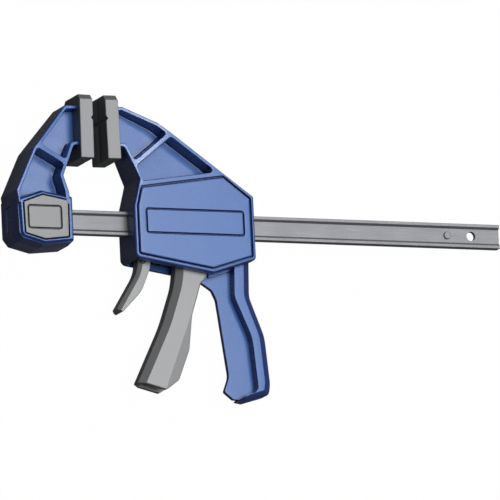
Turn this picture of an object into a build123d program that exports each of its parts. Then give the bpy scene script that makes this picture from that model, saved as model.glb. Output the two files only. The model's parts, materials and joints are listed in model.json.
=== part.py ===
"""Quick release bar clamp, in millimetres.

The clamp lies on its back face. X runs along the bar, from the head with the fixed jaw to the
bar's free end. Y runs from the bar towards the jaws' tips. Z is the thickness.
The origin is on the back face, below the point where the lock pin crosses the bar's axis.

Each piece is drawn on a plane at mid thickness (HEAD, HOUSING or BAR), so that a height in it
is a distance from the middle of the clamp: positive is the front, negative is the back.
"""

import os
from math import cos, hypot, radians, sin

from build123d import *

# ------------------------------------------------------------------ common sizes
CLAMP_THICK = 36.0        # head, housing and pads share one thickness
MID = CLAMP_THICK / 2
RUN = 0.15                # sliding clearance on each side
PIN_FIT = 0.05            # running clearance of a pin, on the radius
TIGHT = 0.01              # clearance of a pressed or screwed piece, on the radius
SEAT = 0.05               # gap between pieces that bear on each other

# ------------------------------------------------------------------ bar
BAR_LENGTH = 420.4
BAR_HEIGHT = 19.5
BAR_WIDTH = 8.0           # across the flanges, along Z
BAR_WEB = 4.0
FLANGE_HEIGHT = 2.4
FLANGE_SLOPE = 1.6        # height of the sloped shoulder between flange and web
BAR_END = 25.4            # from the bar's end in the head to its lock hole
FREE_END = 24.3           # from the free end to its lock hole
LOCK_HOLE = 7.5           # diameter
STOP_PIN = 6.0            # diameter
STOP_PIN_FROM_HOLE = 20.8
STOP_PIN_PROUD = 1.6      # beyond the web, on both sides

# ------------------------------------------------------------------ jaws and pads
OPENING = 11.1            # between the pads, as the clamp stands
FIXED_FACE = 41.5         # the fixed pad's clamping face, from the lock pin
TOE_IN = 0.8              # degrees that each pad leans inwards at its tip
PAD_THICK = 10.7
PAD_HEIGHT = 52.0
PAD_LOW = 50.0            # from the bar's axis to the pads' lower ends
PAD_CHAMFER = 4.6
PAD_ROUND = 0.8
SOCKET_DEPTH = 3.5        # how far the jaw's end enters the pad
CROSS_GROOVE = (6.4, 5.0, 2.0)    # height above the pad's middle, width, depth
LONG_GROOVE = (6.0, 1.2)          # width, depth
STUD = 9.0                # diameter of the jaw's stud in the pad
STUD_LENGTH = 3.0
JAW_TIP_THICK = 23.0      # thickness of the jaws at the pads' tips
JAW_TAPER = (0.125, 0.078)        # growth of half the thickness: away from the pad, downwards
JAW_TOP = 93.8            # upper edge of the jaws at the pads
JAW_UNDER = 61.3          # lower edge of the jaws at the pads
RIM = 3.2                 # width of the rims round the pockets
POCKET_WEB = 3.0          # thickness of the web between front and back pockets

# ------------------------------------------------------------------ head
HEAD_SHIFT = -2.7         # the button's middle, from the lock pin
BEZEL = 2.2               # width of the ring round the button
BUTTON_GAP = 0.25
BUTTON_THICK = 4.9
BUTTON_PROUD = 0.3
BUTTON_POCKET = 12.0      # depth of the button's pocket
LEG = (8.0, 3.6, 13.2)    # width, thickness and distance from the bar's axis
LATCH_CLEAR = 8.1         # back face of the web that guides the pin, from mid thickness
LATCH_THICK = 2.5
LATCH_WIDTH = 13.0
PIN_TIP = 1.8             # tip of the lock pin in front of mid thickness
LOCK_PIN = 7.2            # diameter
BACK_PLATE = (28.0, 36.0, 2.5)
BACK_SCREW_OFFSET = 10.8
MOUTH = (16.6, 21.0, 1.2) # recess in the head's end: along Z, along Y, depth

# ------------------------------------------------------------------ housing and handle
HOUSING_WALL = 4.2
RECESS_EDGE = 2.4         # width of the rim round the side cover
COVER_THICK = 4.5
COVER_FLANGE = 2.1
COVER_GROOVE = 1.5        # width of the groove round the cover's raised panel
COVER_GAP = 0.15
LABEL = (84.6, 20.8, 2.2) # length, height and corner radius of the label frame
LABEL_LINE = 1.1          # width of the frame's groove
LABEL_DEPTH = 0.6
WEB_HALF = 1.6            # half the thickness of the handle's web
FLANGE_HALF = 11.0        # half the width of the handle's flange
WEB_FACE = 5.0            # half the width of the flat along the handle's back
FOOT_FACE = 7.6           # half the width of the flat under the handle
LIP_HALF = 4.6            # half the width of the lip where handle and housing meet
MOUTH_HALF = 11.5         # half the width of the opening under the housing
MOUTH_END = 79.0          # rear end of that opening
BOSS = 9.0                # diameter of the screw bosses
SCREW = 4.0
SCREW_HEAD = (7.4, 2.8)
SCREW_SINK = 0.4
PILLAR_TOP = 4.0          # where the housing's pillars meet the cover's, from mid thickness
BACK_BOSS = 3.2           # height of the lever pin's boss over the back wall

# ------------------------------------------------------------------ mechanism
LEVER_HALF = 10.3         # half the width of the drive lever
LEVER_FACE = 5.0          # half the width of its flat front face
LEVER_INNER = 5.7         # half the width of its channel
LEVER_WALL = 3.6
LEVER_PIN = 6.0
LEVER_EYE = 7.5           # radius
LEVER_PIVOT = (55.0, 19.5)        # from the housing's front wall, from the bar's axis
NOSE = (59.4, -14.5, 4.5)         # place and radius of the nose that pushes the plates
PLATE_THICK = 3.0
PLATE_WIDTH = 22.0
PLATE_LOW = 19.5          # below the bar's axis
PLATE_HIGH = 14.5
PLATE_GAP = 0.2
SPRING_WIRE = 1.6
SPRING_CLEAR = 0.36138    # between the coil and the bar's corners
SPRING_TURNS = 6
GUIDE_LENGTH = 4.0
GUIDE_HEIGHTS = (24.0, 32.0)      # front, rear
REAR_GUIDE_LENGTH = 7.0
BRAKE_TILT = 6.0          # degrees
BRAKE_THICK = 3.5
BRAKE_PIVOT = (15.5, 21.0)
BRAKE_TAIL = (9.0, 58.0)  # width and distance of its end from the pivot
TRIGGER_HALF = 8.0
TRIGGER_FACE = 5.0
RIVET = 3.0
RIVET_FROM_PIVOT = 52.0
BRAKE_SPRING = (3.05, 0.9, 5)     # radius of the centre line, wire, turns
BRAKE_SPRING_DROP = 14.4          # below the bar's axis
SPRING_POST = (25.0, 32.0)        # front and rear face of the post behind the brake spring

# ------------------------------------------------------------------ places
FREE_HOLE = BAR_LENGTH - BAR_END - FREE_END
STOP_PIN_X = FREE_HOLE - STOP_PIN_FROM_HOLE
MOVING_FACE = FIXED_FACE + OPENING
PAD_MID = PAD_LOW + PAD_HEIGHT / 2
SPRING_RADIUS = hypot(BAR_HEIGHT, BAR_WIDTH) / 2 + SPRING_CLEAR + SPRING_WIRE / 2
JAW_OVERHANG = 20.65      # from the moving pad's face to the housing's front wall
HOUSING_X = MOVING_FACE + JAW_OVERHANG
HALF = CLAMP_THICK / 2
SCREW_PLACES = [(28.0, 22.0), (84.0, 22.5), (86.5, -24.4), (28.5, -25.0)]

HEAD = Plane(origin=(HEAD_SHIFT, 0, MID))
HOUSING = Plane(origin=(HOUSING_X, 0, MID))
BAR = Plane(origin=(0, 0, MID))
ACROSS = Plane(origin=(0, 0, MID), x_dir=(0, 1, 0), z_dir=(1, 0, 0))

os.makedirs("parts", exist_ok=True)


# ------------------------------------------------------------------ drawing helpers
def rounded(corners, mode=Mode.ADD):
    """Add or cut a closed outline given as (x, y, radius) corners."""
    points = [(x, y) for x, y, _ in corners]
    radii = [r for _, _, r in corners]
    with BuildLine() as outline:
        FilletPolyline(*points, radius=radii, close=True)
    make_face(outline.edges(), mode=mode)


def polygon(points, mode=Mode.ADD):
    """Add or cut a closed outline with sharp corners."""
    with BuildLine() as outline:
        Polyline(*points, close=True)
    make_face(outline.edges(), mode=mode)


def block(plane, low, high, mode=Mode.ADD):
    """Box between two opposite corners given in a plane's own x, y and height."""
    size = [b - a for a, b in zip(low, high)]
    centre = [(a + b) / 2 for a, b in zip(low, high)]
    with BuildSketch(plane.offset(low[2])) as base:
        with Locations((centre[0], centre[1])):
            Rectangle(size[0], size[1])
    extrude(base.sketch, amount=size[2], mode=mode)


def disc(plane, place, radius, low, high, mode=Mode.ADD):
    """Cylinder across the clamp between two heights over a plane."""
    with BuildSketch(plane.offset(low)) as base:
        with Locations(place):
            Circle(radius)
    extrude(base.sketch, amount=high - low, mode=mode)


def save(piece, name):
    """Label a finished piece and write it to its own file."""
    piece.part.label = name
    export_step(piece.part, f"parts/{name}.step")


def pad_plane(face_x, side):
    """Plane at a pad's clamping face: x runs into the jaw, y to the tip, leaning by TOE_IN."""
    lean = radians(TOE_IN)
    return Plane(
        origin=(face_x, PAD_MID, MID),
        x_dir=(side * cos(lean), sin(lean), 0),
        z_dir=(0, 0, side),
    )


FIXED_PAD = pad_plane(FIXED_FACE, -1)
MOVING_PAD = pad_plane(MOVING_FACE, 1)


def jaw_end(pad):
    """Corners of a jaw's end inside its pad, top first, as x, y on the bar's plane."""
    nose_x = PAD_THICK - SOCKET_DEPTH + SEAT
    corners = []
    for height in (JAW_TOP, JAW_UNDER):
        corner = pad.from_local_coords((nose_x, height - PAD_MID, 0))
        corners.append((corner.X, corner.Y))
    return corners


def taper_plane(pad_x, side, front):
    """Plane that thins a jaw towards its pad, at the front or at the back."""
    away, down = JAW_TAPER
    height = JAW_TIP_THICK / 2
    return Plane(
        origin=(pad_x, JAW_TOP, MID + front * height),
        z_dir=(-side * away, down, front),
    )


def make_pad(pad):
    """Solid of a slip-on pad; the same shape serves both jaws."""
    cross_at, cross_width, cross_depth = CROSS_GROOVE
    long_width, long_depth = LONG_GROOVE
    with BuildPart() as piece:
        with BuildSketch(pad):
            with Locations((PAD_THICK / 2, 0)):
                Rectangle(PAD_THICK, PAD_HEIGHT)
        extrude(amount=HALF, both=True)
        tip = piece.edges().filter_by(lambda e: abs(e.length - PAD_THICK) < 0.01)
        tip = tip.sort_by(Axis.Y)[-2:]
        chamfer(tip, PAD_CHAMFER)
        fillet(piece.edges().filter_by(GeomType.LINE), PAD_ROUND)
        with BuildSketch(pad):
            polygon(
                [
                    (-1.0, cross_at - cross_width * 0.5 * (1 + 1 / cross_depth)),
                    (cross_depth, cross_at),
                    (-1.0, cross_at + cross_width * 0.5 * (1 + 1 / cross_depth)),
                ]
            )
        extrude(amount=HALF + 1, both=True, mode=Mode.SUBTRACT)
        long_plane = Plane(
            origin=pad.origin, x_dir=pad.x_dir, z_dir=-pad.y_dir
        )
        with BuildSketch(long_plane):
            polygon(
                [
                    (-1.0, -long_width * 0.5 * (1 + 1 / long_depth)),
                    (long_depth, 0),
                    (-1.0, long_width * 0.5 * (1 + 1 / long_depth)),
                ]
            )
        extrude(amount=PAD_HEIGHT, both=True, mode=Mode.SUBTRACT)
        socket_half = JAW_TIP_THICK / 2 + RUN
        socket_top = JAW_TOP - PAD_MID + RUN
        block(
            pad,
            (PAD_THICK - SOCKET_DEPTH, -PAD_HEIGHT, -socket_half),
            (PAD_THICK + 1, socket_top, socket_half),
            mode=Mode.SUBTRACT,
        )
        stud_plane = Plane(origin=pad.origin, x_dir=pad.y_dir, z_dir=pad.x_dir)
        stud_at = (JAW_TOP + JAW_UNDER) / 2 - PAD_MID
        disc(
            stud_plane,
            (stud_at, 0),
            STUD / 2 + TIGHT,
            PAD_THICK - SOCKET_DEPTH - STUD_LENGTH - SEAT,
            PAD_THICK,
            mode=Mode.SUBTRACT,
        )
    return piece


def add_stud(pad):
    """Stud on a jaw's end that holds the pad."""
    stud_plane = Plane(origin=pad.origin, x_dir=pad.y_dir, z_dir=pad.x_dir)
    stud_at = (JAW_TOP + JAW_UNDER) / 2 - PAD_MID
    seat = PAD_THICK - SOCKET_DEPTH + SEAT
    disc(stud_plane, (stud_at, 0), STUD / 2, seat - STUD_LENGTH, seat + STUD_LENGTH)


def trim_jaw_end(pad):
    """Thin the jaw's end to the pad's socket, so that it enters with clearance."""
    half = JAW_TIP_THICK / 2
    for front in (1, -1):
        low, high = sorted((front * half, front * (HALF + 1)))
        block(pad, (0, -PAD_HEIGHT, low), (PAD_THICK + SEAT, PAD_HEIGHT, high), Mode.SUBTRACT)


def sink(plane, corner_lists, depth_from_middle):
    """Cut pockets from the front and from the back, down to a web at mid thickness."""
    for front in (1, -1):
        with BuildSketch(plane.offset(front * depth_from_middle)) as pockets:
            for corners in corner_lists:
                rounded(corners)
        extrude(pockets.sketch, amount=front * CLAMP_THICK, mode=Mode.SUBTRACT)


def bevel(path_corners, face_half):
    """Cut 45 degree bevels along an edge, leaving a flat of face_half on both sides of it.

    The path runs down the edge; the bevels lie on its front and its back.
    """
    points = [(x, y) for x, y, _ in path_corners]
    radii = [r for _, _, r in path_corners[1:-1]]
    with BuildLine(HOUSING) as edge:
        if any(radii):
            FilletPolyline(*points, radius=radii)
        else:
            Polyline(*points)
    path = edge.wires()[0]
    with BuildSketch(Plane(origin=path @ 0, x_dir=(0, 0, 1), z_dir=path % 0)) as wedges:
        for front in (1, -1):
            polygon([(front * (face_half - 2), 2), (front * (face_half + 12), -12),
                     (front * (face_half + 12), 2)])
    sweep(sections=wedges.sketch, path=path, transition=Transition.RIGHT, mode=Mode.SUBTRACT)


def coil(plane, start, end, radius, wire, turns):
    """Coil spring along a plane's normal between two heights over it."""
    rise = end - start - wire
    with BuildPart() as piece:
        with BuildLine():
            helix = Helix(pitch=rise / turns, height=rise, radius=radius)
        with BuildSketch(Plane(origin=helix @ 0, z_dir=helix % 0)):
            Circle(wire / 2)
        sweep(path=helix, is_frenet=True)
    return plane.offset(start + wire / 2).location * piece.part


# ------------------------------------------------------------------ bar
FLANGE_INNER = BAR_HEIGHT / 2 - FLANGE_HEIGHT
with BuildPart() as bar:
    with BuildSketch(ACROSS.offset(-BAR_END)):
        Rectangle(BAR_HEIGHT, BAR_WIDTH)
        for front in (1, -1):
            polygon(
                [
                    (-FLANGE_INNER, front * BAR_WIDTH / 2),
                    (-FLANGE_INNER + FLANGE_SLOPE, front * BAR_WEB / 2),
                    (FLANGE_INNER - FLANGE_SLOPE, front * BAR_WEB / 2),
                    (FLANGE_INNER, front * BAR_WIDTH / 2),
                ],
                mode=Mode.SUBTRACT,
            )
    extrude(amount=BAR_LENGTH)
    for hole_x in (0, FREE_HOLE):
        disc(BAR, (hole_x, 0), LOCK_HOLE / 2, -BAR_WIDTH, BAR_WIDTH, Mode.SUBTRACT)
    disc(BAR, (STOP_PIN_X, 0), STOP_PIN / 2 + TIGHT, -BAR_WIDTH, BAR_WIDTH, Mode.SUBTRACT)
save(bar, "bar")

with BuildPart() as bar_stop_pin:
    pin_half = BAR_WEB / 2 + STOP_PIN_PROUD
    disc(BAR, (STOP_PIN_X, 0), STOP_PIN / 2, -pin_half, pin_half)
    chamfer(bar_stop_pin.edges(), 0.4)
save(bar_stop_pin, "bar_stop_pin")

# ------------------------------------------------------------------ fixed jaw
HEAD_LEFT = -24.0
HEAD_RIGHT = 22.2
ARM_FOOT = 21.5           # where the arm's outer edge leaves the head
SKIRT = 4.0               # below this height the head has its full outline
RING_FOOT = 8.5           # where the ring's slope towards the arm ends

head_end = [(x - HEAD_SHIFT, y) for x, y in jaw_end(FIXED_PAD)]
arm_upper = [
    (HEAD_LEFT, ARM_FOOT),
    (-7.5, 56.5),
    (22.5, JAW_TOP - 0.8),
    head_end[0],
    head_end[1],
    (28.3, JAW_UNDER - 1.4),
    (17.3, 34.7),
    (21.4, 21.5),
]
arm_outline = [(HEAD_LEFT, 17.5)] + arm_upper + [(HEAD_RIGHT, 17.5)]
head_pockets = [
    [
        (-20.7, 20.6, 1.2),
        (-2.2, 23.0, 2.0),
        (17.9, 21.2, 1.6),
        (13.9, 34.9, 4.0),
        (18.0, 44.3, 2.2),
        (-4.2, 56.6, 2.2),
    ],
    [
        (-0.9, 59.6, 2.2),
        (19.7, 48.2, 2.2),
        (26.1, 62.7, 3.0),
        (33.6, 64.1, 2.2),
        (34.0, JAW_TOP - RIM, 2.2),
        (24.1, JAW_TOP - RIM - 0.6, 2.2),
    ],
]
head_back = [
    (HEAD_LEFT, ARM_FOOT, 0),
    (HEAD_LEFT, -12.5, 3.0),
    (-19.5, -18.0, 3.0),
    (-1.5, -22.3, 3.0),
    (HEAD_RIGHT, -19.4, 2.5),
    (HEAD_RIGHT, ARM_FOOT, 0),
]
head_front = [
    (-22.6, ARM_FOOT, 0),
    (-21.2, -12.5, 2.0),
    (-18.8, -15.8, 2.0),
    (-1.0, -20.2, 3.0),
    (HEAD_RIGHT, -16.3, 2.0),
    (HEAD_RIGHT, ARM_FOOT, 0),
]
button_outline = [
    (-21.2 + BEZEL, 13.2 - BEZEL / 3, 2.0),
    (-20.6 + BEZEL, -14.2 + BEZEL / 3, 2.0),
    (-1.0, -19.6 + BEZEL, 2.0),
    (20.6 - BEZEL, -15.6 + BEZEL / 3, 2.0),
    (21.0 - BEZEL, 15.0 - BEZEL / 3, 2.0),
    (-1.8, 19.2 - BEZEL, 2.0),
]
POCKET_FLOOR = HALF - BUTTON_POCKET
LATCH_TOP = -LATCH_CLEAR - SEAT
LATCH_LOW = LATCH_TOP - LATCH_THICK
BACK_PLATE_TOP = -HALF + BACK_PLATE[2]
LEG_OUT = LEG[2] + LEG[1] / 2
LOCK_X = -HEAD_SHIFT      # the lock pin on the head's own plane

with BuildSketch(HEAD.offset(HALF)) as button_hole:
    rounded(button_outline)

with BuildPart() as fixed_jaw:
    with BuildSketch(HEAD):
        polygon(arm_outline)
    extrude(amount=HALF, both=True)
    for front in (1, -1):
        split(bisect_by=taper_plane(HEAD_SHIFT + 33.3, -1, front), keep=Keep.BOTTOM)
    trim_jaw_end(FIXED_PAD)
    sink(HEAD, head_pockets, POCKET_WEB / 2)
    add_stud(FIXED_PAD)
    # head: full outline up to the skirt, then drawn in to the ring round the button
    with BuildSketch(HEAD.offset(-HALF)):
        rounded(head_back)
    extrude(amount=HALF + SKIRT)
    with BuildSketch(HEAD.offset(SKIRT)):
        rounded(head_back)
    with BuildSketch(HEAD.offset(HALF)):
        rounded(head_front)
    loft(ruled=True)
    # between the arm's rims the ring round the button slopes down to the pocket
    with BuildSketch(HEAD.offset(RING_FOOT)):
        polygon([(-20.8, 20.4), (-2.2, 23.0), (18.1, 21.2), (16.5, 26.5), (-18.1, 26.5)])
    with BuildSketch(HEAD.offset(HALF)):
        polygon([(-20.8, 14.2), (-2.2, 18.8), (18.1, 14.9), (16.5, 26.5), (-18.1, 26.5)])
    loft(ruled=True, mode=Mode.SUBTRACT)
    # button's pocket, bar passage and end window
    extrude(button_hole.sketch, amount=-BUTTON_POCKET, mode=Mode.SUBTRACT)
    block(
        HEAD,
        (HEAD_LEFT + MOUTH[2], -BAR_HEIGHT / 2 - RUN, -BAR_WIDTH / 2 - RUN),
        (HEAD_RIGHT + 30, BAR_HEIGHT / 2 + RUN, BAR_WIDTH / 2 + RUN),
        mode=Mode.SUBTRACT,
    )
    with BuildSketch(ACROSS.offset(HEAD_SHIFT + HEAD_LEFT)):
        with Locations((0.5, 0)):
            RectangleRounded(MOUTH[1], MOUTH[0], 1.5)
    extrude(amount=MOUTH[2], mode=Mode.SUBTRACT)
    # legs, latch chamber, pin guide and back plate's seat
    for side in (1, -1):
        leg_low = sorted((side * (LEG[2] - LEG[1] / 2 - RUN), side * (LEG_OUT + RUN)))
        block(
            HEAD,
            (LOCK_X - LEG[0] / 2 - RUN, leg_low[0], -LATCH_CLEAR - 1),
            (LOCK_X + LEG[0] / 2 + RUN, leg_low[1], POCKET_FLOOR + 1),
            mode=Mode.SUBTRACT,
        )
    block(
        HEAD,
        (LOCK_X - LATCH_WIDTH / 2 - RUN, -LEG_OUT - 1.2, BACK_PLATE_TOP - 1),
        (LOCK_X + LATCH_WIDTH / 2 + RUN, LEG_OUT + 1.2, -LATCH_CLEAR),
        mode=Mode.SUBTRACT,
    )
    with BuildSketch(HEAD.offset(-HALF)):
        with Locations((LOCK_X, 0)):
            RectangleRounded(BACK_PLATE[0] + 2 * RUN, BACK_PLATE[1] + 2 * RUN, 3.0)
    extrude(amount=BACK_PLATE[2], mode=Mode.SUBTRACT)
    disc(HEAD, (LOCK_X, 0), LOCK_PIN / 2 + PIN_FIT, -HALF, 0, Mode.SUBTRACT)
    for side in (1, -1):
        disc(HEAD, (LOCK_X + side * BACK_SCREW_OFFSET, 0), 1.5 + TIGHT, -HALF, -HALF + 8,
             Mode.SUBTRACT)
save(fixed_jaw, "fixed_jaw")

fixed_pad = make_pad(FIXED_PAD)
save(fixed_pad, "fixed_pad")

# ------------------------------------------------------------------ button and latch
BUTTON_TOP = HALF + BUTTON_PROUD
BUTTON_UNDER = BUTTON_TOP - BUTTON_THICK
LEG_SHOULDER = LATCH_TOP
TENON = (5.0, 2.2)
with BuildPart() as push_button:
    with BuildSketch(HEAD.offset(BUTTON_UNDER)):
        rounded(button_outline)
        offset(amount=-BUTTON_GAP, kind=Kind.INTERSECTION)
    extrude(amount=BUTTON_THICK)
    rim = push_button.faces().sort_by(Axis.Z)[-1]
    chamfer(rim.edges(), 0.5)
    with BuildSketch(HEAD.offset(BUTTON_TOP)) as frame_line:
        with Locations((-0.6, 0.0)):
            RectangleRounded(29.4, 19.6, 2.4)
            offset(amount=-LABEL_LINE, mode=Mode.SUBTRACT)
    extrude(amount=-LABEL_DEPTH, mode=Mode.SUBTRACT)
    for side in (1, -1):
        leg_y = sorted((side * (LEG[2] - LEG[1] / 2), side * LEG_OUT))
        block(
            HEAD,
            (LOCK_X - LEG[0] / 2, leg_y[0], LEG_SHOULDER + SEAT),
            (LOCK_X + LEG[0] / 2, leg_y[1], BUTTON_UNDER + 0.5),
        )
        block(
            HEAD,
            (LOCK_X - TENON[0] / 2, side * LEG[2] - TENON[1] / 2, LATCH_LOW + 0.1),
            (LOCK_X + TENON[0] / 2, side * LEG[2] + TENON[1] / 2, LEG_SHOULDER + 1),
        )
save(push_button, "push_button")

with BuildPart() as latch_plate:
    with BuildSketch(HEAD.offset(LATCH_LOW)):
        with Locations((LOCK_X, 0)):
            RectangleRounded(LATCH_WIDTH, 2 * LEG_OUT + 1.2, 1.5)
            Circle(LOCK_PIN / 2 - 0.8 + TIGHT, mode=Mode.SUBTRACT)
        for side in (1, -1):
            with Locations((LOCK_X, side * LEG[2])):
                Rectangle(TENON[0] + 2 * TIGHT, TENON[1] + 2 * TIGHT, mode=Mode.SUBTRACT)
    extrude(amount=LATCH_THICK)
save(latch_plate, "latch_plate")

with BuildPart() as lock_pin:
    disc(HEAD, (LOCK_X, 0), LOCK_PIN / 2 - 0.8, LATCH_LOW + 0.1, LATCH_TOP + 0.5)
    disc(HEAD, (LOCK_X, 0), LOCK_PIN / 2, LATCH_TOP + TIGHT, PIN_TIP)
    chamfer(lock_pin.edges().sort_by(Axis.Z)[-1], 0.6)
save(lock_pin, "lock_pin")

with BuildPart() as button_springs:
    for side in (1, -1):
        spring_place = Plane(origin=(HEAD_SHIFT + side * 12.5, 0, MID))
        add(coil(spring_place, POCKET_FLOOR + SEAT, BUTTON_UNDER - SEAT, 2.6, 0.7, 4))
save(button_springs, "button_springs")

with BuildPart() as head_back_plate:
    with BuildSketch(HEAD.offset(-HALF)):
        with Locations((LOCK_X, 0)):
            RectangleRounded(BACK_PLATE[0], BACK_PLATE[1], 3.0)
    extrude(amount=BACK_PLATE[2] - SEAT)
    for side in (1, -1):
        place = (LOCK_X + side * BACK_SCREW_OFFSET, 0)
        disc(HEAD, place, 1.5 + RUN, -HALF, -HALF + BACK_PLATE[2], Mode.SUBTRACT)
        disc(HEAD, place, 2.8 + RUN, -HALF, -HALF + 1.5, Mode.SUBTRACT)
save(head_back_plate, "head_back_plate")

with BuildPart() as back_plate_screws:
    for side in (1, -1):
        place = (LOCK_X + side * BACK_SCREW_OFFSET, 0)
        disc(HEAD, place, 2.8, -HALF + 0.2, -HALF + 1.5 - SEAT)
        disc(HEAD, place, 1.5, -HALF + 1.0, -HALF + 7.5)
        disc(HEAD, place, 0.9, -HALF + 0.1, -HALF + 0.9, Mode.SUBTRACT)
save(back_plate_screws, "back_plate_screws")

# ------------------------------------------------------------------ housing with jaw and handle
HOUSING_LENGTH = 103.8
BELLY = (66.5, -41.0)     # lowest point of the housing
REAR_LOW = -28.7
REAR_HIGH = 22.6
FRONT_LOW = -30.0

jaw_corners = [(x - HOUSING_X, y) for x, y in jaw_end(MOVING_PAD)]
housing_outline = [
    (0, FRONT_LOW, 5.0),
    (BELLY[0], BELLY[1], 6.0),
    (HOUSING_LENGTH, REAR_LOW, 4.5),
    (HOUSING_LENGTH, REAR_HIGH, 2.5),
    (24.5, 80.7, 3.0),
    (-3.5, JAW_TOP - 0.2, 3.0),
    (jaw_corners[0][0], jaw_corners[0][1], 0),
    (jaw_corners[1][0], jaw_corners[1][1], 0),
    (-4.8, JAW_UNDER - 1.3, 2.5),
    (6.1, 34.6, 3.0),
    (0, 11.3, 4.0),
]
jaw_pockets = [
    [
        (5.0, 45.2, 2.2),
        (9.3, 32.5, 2.2),
        (72.2, 41.8, 2.2),
        (34.8, 69.2, 2.2),
    ],
    [
        (-2.6, 62.9, 3.0),
        (3.3, 49.1, 2.2),
        (31.3, 71.8, 1.8),
        (22.9, 77.9, 3.0),
        (-4.2, JAW_TOP - RIM - 0.2, 2.5),
        (-10.4, JAW_TOP - RIM, 2.2),
        (-10.0, 64.1, 2.2),
    ],
]
cover_edge = [
    (6.9, 28.4),
    (78.1, 39.1),
    (101.4, 21.2),
    (101.4, -26.9),
    (66.7, -38.0),
    (2.8, -27.4),
    (2.8, 12.2),
]

handle_back = [
    (116.9, -150.0, 0),
    (115.2, -127.5, 30.0),
    (112.3, -89.0, 40.0),
    (100.7, -57.0, 18.0),
    (102.0, -22.0, 0),
]
handle_foot = [
    (80.0, -143.4, 0),
    (93.6, -142.3, 0),
    (122.0, -134.0, 0),
]
handle_flange = [
    (86.8, -33.0, 0),
    (85.9, -58.0, 15.0),
    (99.6, -91.0, 36.0),
    (103.0, -129.5, 5.0),
    (90.8, -139.9, 0),
    (88.0, -141.3, 0),
    (93.6, -142.3, 1.0),
    (114.0, -136.4, 5.0),
    (115.3, -127.5, 30.0),
    (112.3, -89.0, 40.0),
    (100.7, -57.0, 18.0),
    (101.8, -28.6, 0),
]
handle_web = [
    (68.0, -38.4, 0),
    (60.2, -46.4, 0),
    (72.8, -58.6, 24.0),
    (81.7, -120.8, 12.0),
    (77.0, -134.2, 2.0),
    (84.5, -140.3, 1.5),
    (93.0, -141.0, 0),
    (108.0, -133.0, 0),
    (105.0, -92.0, 0),
    (93.0, -60.0, 0),
    (93.0, -31.0, 0),
]
BACK_WALL = -HALF + HOUSING_WALL
COVER_LOW = HALF - COVER_THICK
CHAMBER_FRONT = cover_edge[-1][0] + HOUSING_WALL - RECESS_EDGE
CHAMBER_REAR = cover_edge[3][0] - HOUSING_WALL + RECESS_EDGE


def cover_region(inset, height, corner=2.5):
    """Sketch of the cover's outline at a height, drawn in by an inset."""
    with BuildSketch(HOUSING.offset(height)) as region:
        polygon(cover_edge)
        if inset:
            offset(amount=-inset, kind=Kind.INTERSECTION)
        fillet(region.vertices(), corner)
    return region.sketch


with BuildPart() as handle:
    with BuildSketch(HOUSING):
        rounded(handle_flange)
    extrude(amount=FLANGE_HALF, both=True)
    bevel(handle_back, WEB_FACE)
    bevel(handle_foot, FOOT_FACE)
    with BuildSketch(HOUSING):
        rounded(handle_web)
    extrude(amount=WEB_HALF, both=True)

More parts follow.
